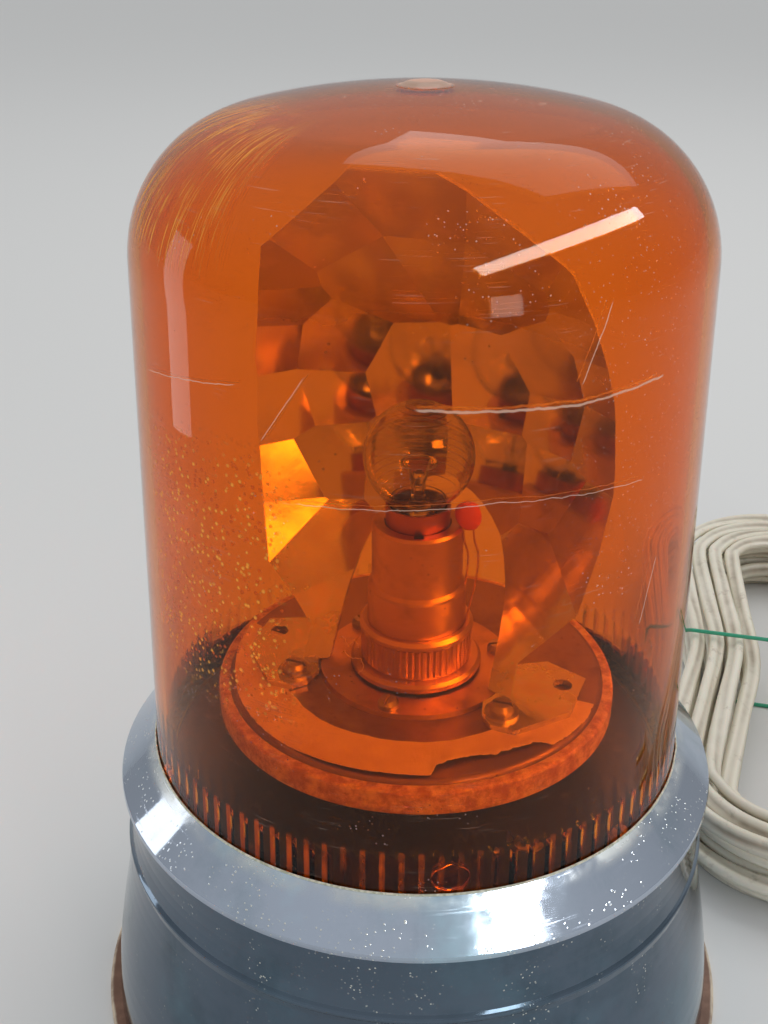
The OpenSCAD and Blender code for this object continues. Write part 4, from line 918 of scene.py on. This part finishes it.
class BEACON_OT_dome(bpy.types.Operator):
    """The dome: taper, rounded shoulder, low crown with its nib, and ribs inside the foot"""

    bl_idname = "beacon.dome"
    bl_label = "Model the dome"

    def execute(self, context):
        sizes = context.scene.beacon_dome
        steps = sizes.flutes * 4
        clear()
        outer = self.shoulder_line(0.0)
        (r_seat, z_seat), (r_side, z_side) = (DOME_FOOT, SEAT_TOP), outer[0]
        outside = [(DOME_FOOT - DOME_WALL, DOME_LOW)] + [(r, DOME_LOW + z) for r, z in FLANGE]
        for i in range(8):
            outside.append((r_seat + (r_side - r_seat) * i / 8, z_seat + (z_side - z_seat) * i / 8))
        shell = draw_out(outside + outer + [(r, DOME_TOP + z) for r, z in NIB], steps, True)
        clear()
        inner = self.shoulder_line(DOME_WALL)
        r_low, (r_high, z_high) = DOME_FOOT - DOME_WALL, inner[0]
        slope = (r_high - r_low) / (z_high - DOME_LOW)
        inside = [(r_low, DOME_LOW)]
        inside += [(r_low + slope * (z - DOME_LOW), z) for z in LINING_HEIGHTS]
        lining = draw_out(inside + inner + [(0.05, inner[-1][1])], steps, True)
        self.cut_ribs(lining, steps, sizes.flute_depth)
        dome = settle(join(shell, lining), "dome_shell", 32.0, "dome")
        dome.data.materials.append(amber_acrylic(sizes.colour, sizes.flutes))
        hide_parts("dome")
        return {"FINISHED"}

    def shoulder_line(self, t):
        """The rounded shoulder and the low crown, at a depth t under the outside."""
        cx = DOME_SHOULDER - CORNER_R
        centre = DOME_TOP - CROWN_R
        rise = math.sqrt((CROWN_R - CORNER_R) ** 2 - cx * cx)
        lean = math.degrees(math.atan2(cx, rise))
        line = arc(cx, centre + rise, CORNER_R - t, 90 - lean, 18)
        for i in range(1, 8):
            a = math.radians(lean * (8 - i) / 8)
            line.append(((CROWN_R - t) * math.sin(a), centre + (CROWN_R - t) * math.cos(a)))
        return line

    def cut_ribs(self, lining, steps, depth):
        """Ribs: every fourth column of the band stays where it is, the others go out."""
        only(lining)
        for share, columns in RIB_COLUMNS:
            def between_ribs(v):
                column = round(math.atan2(v.co.y, v.co.x) / (2 * math.pi) * steps) % 4
                return RIB_LOW * MM < v.co.z < RIB_HIGH * MM and column in columns

            select_where(lining.data.vertices, between_ribs)
            k = 1 + share * depth / (RIB_R * MM)
            mode("EDIT")
            bpy.ops.transform.resize(
                value=(k, k, 1.0), center_override=(0.0, 0.0, RIB_MIDDLE * MM)
            )
            mode("OBJECT")


class BEACON_OT_paper_ring(bpy.types.Operator):
    """The blank paper ring on the table, torn along its front and lifting at its free edges"""

    bl_idname = "beacon.paper_ring"
    bl_label = "Model the paper ring"

    def execute(self, context):
        width = PAPER_OUTER - PAPER_INNER
        radii = [PAPER_INNER + width * k / PAPER_BANDS for k in range(PAPER_BANDS + 1)]
        paper = draw_out([(r, PAPER_Z) for r in radii], PAPER_COLUMNS)
        only(paper)
        mesh = paper.data
        select_where(
            mesh.polygons,
            lambda face: not PAPER_START < self.turn_of(face.center) < PAPER_END,
        )
        mode("EDIT")
        bpy.ops.mesh.delete(type="FACE")
        mode("OBJECT")
        torn = mesh.attributes.new("torn", "FLOAT", "POINT")
        for v in mesh.vertices:
            turn = self.turn_of(v.co)
            r = math.hypot(v.co.x, v.co.y) / MM
            share = (r - PAPER_INNER) / width
            is_torn = turn > TORN_FROM
            wave = wave_at(turn * 0.45, 3.0, 0.0) + 0.5 * wave_at(turn * 1.6, 8.0, 0.0)
            rim = at_turn(PAPER_RIM, turn) + wave * (0.7 if is_torn else 0.175)
            hem = PAPER_INNER + 0.5 * wave_at(turn * 0.11, 1.0, 0.0)
            new = hem + (rim - hem) * share
            height = at_turn(PAPER_LIFT, turn) * share ** 2
            height += at_turn(PAPER_HEM, turn) * (1 - share) ** 3
            height += 0.10 * height * wave_at(turn * 0.2, r * 0.15, 4.0)
            v.co = (v.co.x * new / r, v.co.y * new / r, v.co.z + height * MM)
            if is_torn:
                fibres = (share - 1.0) * PAPER_BANDS + TORN_BANDS
                torn.data[v.index].value = max(0.0, fibres) / TORN_BANDS
        only(paper)
        wall = paper.modifiers.new("thickness", "SOLIDIFY")
        wall.thickness = PAPER_T * MM
        wall.offset = 1.0
        bpy.ops.object.modifier_apply(modifier="thickness")
        settle(paper, "paper_ring", 40.0, "turntable")
        paper.data.materials.append(old_paper())
        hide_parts("label_ring")
        return {"FINISHED"}

    def turn_of(self, place):
        """A place's angle round the axis, from -270 to 90 degrees."""
        turn = math.degrees(math.atan2(place.y, place.x))
        return turn - 360.0 if turn > 90.0 else turn


class BEACON_OT_trim(bpy.types.Operator):
    """The dome's gate pip, the crust in the bezel's joint, the small suppressor and the lint"""

    bl_idname = "beacon.trim"
    bl_label = "Add the small trim"

    def execute(self, context):
        self.gate_pip(context.scene.beacon_dome.colour)
        self.crust()
        self.suppressor()
        self.lint()
        return {"FINISHED"}

    def gate_pip(self, colour):
        """A round pip inside the dome's foot: a stepped disc with softened edges."""
        clear()
        bpy.ops.mesh.primitive_cylinder_add(vertices=40, radius=PIP_R * MM, depth=PIP_T * MM)
        pip = bpy.context.object
        select_where(pip.data.polygons, lambda face: face.normal.z > 0.9)
        mode("EDIT")
        for inset, rise in ((0.0009, -0.0007), (0.0012, 0.0003)):
            bpy.ops.mesh.inset(thickness=inset)
            bpy.ops.transform.translate(value=(0.0, 0.0, rise))
        mode("OBJECT")
        soften = pip.modifiers.new("soften", "BEVEL")
        soften.width, soften.segments = 0.0002, 2
        bpy.ops.object.modifier_apply(modifier="soften")
        turn = math.radians(PIP_TURN)
        out, up = (value * MM for value in PIP_AT)
        pip.matrix_world = (
            Matrix.Translation((out * math.sin(turn), -out * math.cos(turn), up))
            @ Matrix.Rotation(turn, 4, "Z")
            @ Matrix.Rotation(math.radians(90.0), 4, "X")
        )
        settle(pip, "dome_pip", 35.0, "dome")
        pip.data.materials.append(clear_glass("pip_acrylic", colour))

    def crust(self):
        """Crumbs of crust along the joint of dome and bezel."""
        crust = turned("joint_crust", CRUST, 480, "bezel", 60.0)
        for v in crust.data.vertices:
            way = Vector((v.co.x, v.co.y, 0.0)).normalized()
            bump = max(0.0, noise.noise(v.co * 900.0)) * 0.35
            bump += max(0.0, noise.noise(v.co * 160.0)) * 0.45
            v.co += (way * bump * 0.6 + Vector((0.0, 0.0, bump * 0.7))) * MM
        crust.data.materials.append(verdigris())

    def suppressor(self):
        """A small glazed disc on two thin legs beside the lamp."""
        clear()
        bpy.ops.mesh.primitive_uv_sphere_add(segments=32, ring_count=18, radius=SUPPRESSOR_R * MM)
        pill = bpy.context.object
        pill.scale = SUPPRESSOR_FORM
        bpy.ops.object.transform_apply()
        for v in pill.data.vertices:
            v.co *= 1.0 + 0.10 * noise.noise(v.co * 420.0)
        turn = Matrix.Rotation(math.radians(SUPPRESSOR_TURN), 4, "Z")
        pill.matrix_world = Matrix.Translation(SUPPRESSOR_AT * MM) @ turn
        legs = []
        for way in (-LEG_APART, LEG_APART):
            route = [SUPPRESSOR_AT + Vector((x + way, y, z)) for x, y, z in LEG_ROUTE]
            legs.append(tube("leg", smooth_line(route, 6), circle_section(LEG_R, 8)))
        settle(pill, "suppressor", 60.0, "base")
        pill.data.materials.append(moulded("suppressor_glaze", (0.90, 0.16, 0.05), 0.35, fade=0.1))
        legs = settle(join(*legs), "suppressor_legs", 60.0, "base")
        legs.data.materials.append(metal("leg_copper", (0.78, 0.48, 0.28), 0.3, scale=3.0))

    def lint(self):
        """Two wisps of lint that hang on the collar."""
        noise.seed_set(THREAD_SEED)
        wisps = []
        for k, route in enumerate(THREAD_ROUTES):
            line = smooth_line(route, 8)
            for i, p in enumerate(line):
                p += 0.5 * noise.noise_vector(Vector((i * 0.35, k * 7.0, 0.0)))
            wisps.append(tube("wisp", line, circle_section(THREAD_R, 6)))
        wisps = settle(join(*wisps), "lint_threads", 60.0, "base")
        wisps.data.materials.append(moulded("lint", (0.90, 0.84, 0.76), 0.9, fade=0.1))


class BEACON_OT_contact_springs(bpy.types.Operator):
    """The two coil springs under the lamp's contacts"""

    bl_idname = "beacon.contact_springs"
    bl_label = "Model the contact springs"

    def execute(self, context):
        low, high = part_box("contact_springs")
        wire, turns, steps, apart = 0.25, 4, 24, 3.6
        radius = high[0] / MM - apart - wire
        bottom, tall = low[2] / MM + wire, (high[2] - low[2]) / MM - 2 * wire
        coils = []
        for side in (-1, 1):
            line = []
            for i in range(turns * steps + 1):
                turn = 2 * math.pi * i / steps
                x, y = side * apart + radius * math.cos(turn), radius * math.sin(turn)
                line.append(Vector((x, y, bottom + tall * i / (turns * steps))))
            coils.append(tube("coil", line, circle_section(wire, 8)))
        springs = settle(join(*coils), "lamp_springs", 50.0, "base")
        springs.data.materials.append(metal("spring_steel", (0.60, 0.61, 0.62), 0.3, scale=3.0))
        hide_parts("contact_springs")
        press = next(joint for joint in frame["joints"] if joint["name"] == "contact_press")
        travel = press["range_m"][0]
        height = high[2] - low[2]
        (height + travel) / height
        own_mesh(springs)
        return {"FINISHED"}


class BEACON_OT_finishes(bpy.types.Operator):
    """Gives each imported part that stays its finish"""

    bl_idname = "beacon.finishes"
    bl_label = "Finish the packed parts"

    def execute(self, context):
        steel = metal("zinc_steel", (0.58, 0.59, 0.60), 0.34)
        screw = metal("screw_steel", (0.62, 0.58, 0.50), 0.3, grime=0.4, scale=1.8)
        brass = metal("aged_brass", (0.72, 0.50, 0.22), 0.27, grime=0.45, dark=(0.12, 0.07, 0.03))
        bright_brass = metal(
            "collar_brass", (0.80, 0.58, 0.28), 0.24, grime=0.35, dark=(0.10, 0.06, 0.03)
        )
        cap = metal("cap_copper", (0.52, 0.20, 0.12), 0.3, grime=0.5, dark=(0.10, 0.03, 0.02))
        bronze = metal("bronze", (0.62, 0.42, 0.22), 0.4)
        table = metal(
            "table_plate", (0.40, 0.30, 0.20), 0.34, grime=0.6, dark=(0.16, 0.09, 0.05)
        )
        can = metal("motor_can", (0.56, 0.58, 0.59), 0.36)
        wire = metal("lamp_wire", (0.62, 0.60, 0.56), 0.3, scale=4.0)
        rubber = moulded("black_rubber", (0.055, 0.052, 0.05), 0.62)
        # Plain black for the chassis plate, which is the dark floor round the table inside the dome
        dark_plate = moulded(
            "black_enamel", (0.045, 0.04, 0.04), 0.3, dirt_colour=(0.30, 0.24, 0.16)
        )
        brown = moulded("bakelite", (0.22, 0.10, 0.05), 0.35)
        cream = moulded("cream_plastic", (0.78, 0.74, 0.60), 0.42)
        red = moulded("red_wire", (0.55, 0.06, 0.05), 0.4)
        green = moulded("tie_vinyl", (0.02, 0.36, 0.20), 0.3, fade=0.15)
        film = moulded("film_yellow", (0.68, 0.60, 0.16), 0.35)
        seal = moulded("seal_rubber", (0.42, 0.44, 0.34), 0.7)
        black = moulded("motor_cap", (0.10, 0.10, 0.105), 0.45)
        vinyl = moulded("plug_vinyl", (0.82, 0.78, 0.66), 0.4, dirt_colour=(0.32, 0.26, 0.18))
        wanted = {
            "base_mat": mat_rubber(),
            # The skirt's chrome is a dark blue-grey, far darker than the bezel's: painted
            # reflection of dark surroundings in its colour
            "body_shell": chrome_plate("skirt_chrome", (0.12, 0.16, 0.21), 0.07, 0.9, 0.53),
            "bezel_ring": chrome_plate("bezel_chrome", (0.45, 0.51, 0.61), 0.05, 0.6, 0.46),
            "reflector": mirror_plate(),
            "friction_ring": ring_rubber(),
            "bulb_glass": clear_glass("bulb_glass", (0.97, 0.97, 0.95)),
            "bulb_stem": clear_glass("stem_glass", (0.90, 0.94, 0.90), 0.08),
        }
        groups = (
            (steel, "base_plate pillars spindle spindle_washer motor_bracket cord_clamp"),
            (screw, "pillar_screws ledge_screws ledge_nuts motor_screws hub_screws"),
            (screw, "reflector_screws reflector_nuts"),
            (brass, "holder_base holder_tube spindle_nut contact_plungers"),
            (brass, "terminal_screws turntable_hub"),
            (bright_brass, "holder_collar plug_pins"),
            (cap, "bulb_cap"),
            (bronze, "thrust_washer shaft_bearing turntable_bush"),
            (table, "turntable_disc"),
            (steel, "motor_shaft"),
            (can, "motor_can"),
            (wire, "filament"),
            (rubber, "drive_roller cable_gland"),
            (dark_plate, "chassis_plate"),
            (brown, "contact_insulator"),
            (cream, "terminal_block"),
            (red, "wiring"),
            (green, "cord_tie"),
            (film, "capacitor"),
            (seal, "dome_seal"),
            (black, "motor_cap"),
            (vinyl, "plug_body inner_flex"),
        )
        for finish, names in groups:
            for name in names.split():
                wanted[name] = finish
        for name, finish in wanted.items():
            for slot in NODES[name].material_slots:
                slot.material = finish
        return {"FINISHED"}


class BEACON_PT_tools(bpy.types.Panel):
    """The beacon's steps, in the order in which they run"""

    bl_label = "Beacon"
    bl_idname = "BEACON_PT_tools"
    bl_space_type = "VIEW_3D"
    bl_region_type = "UI"
    bl_category = "Beacon"

    def draw(self, context):
        for group, steps in STEPS.items():
            box = self.layout.box()
            values = getattr(context.scene, group)
            for key in GROUPS[group].__annotations__:
                box.prop(values, key)
            for step in steps:
                box.operator(step.bl_idname)


GROUPS = {"beacon_stage": StageSizes, "beacon_flex": FlexSizes, "beacon_dome": DomeSizes}
STEPS = {
    "beacon_stage": (BEACON_OT_stage,),
    "beacon_flex": (BEACON_OT_flex,),
    "beacon_dome": (
        BEACON_OT_dome, BEACON_OT_paper_ring, BEACON_OT_trim, BEACON_OT_contact_springs,
        BEACON_OT_finishes,
    ),
}
OPERATORS = [step for steps in STEPS.values() for step in steps]
CLASSES = (*GROUPS.values(), *OPERATORS, BEACON_PT_tools)


def register():
    for cls in CLASSES:
        bpy.utils.register_class(cls)
    for name, group in GROUPS.items():
        setattr(bpy.types.Scene, name, PointerProperty(type=group))


def unregister():
    for name in GROUPS:
        delattr(bpy.types.Scene, name)
    for cls in reversed(CLASSES):
        bpy.utils.unregister_class(cls)


def main():
    register()
    for step in OPERATORS:
        group, name = step.bl_idname.split(".")
        getattr(getattr(bpy.ops, group), name)()
    clear()


if __name__ == "__main__":
    main()
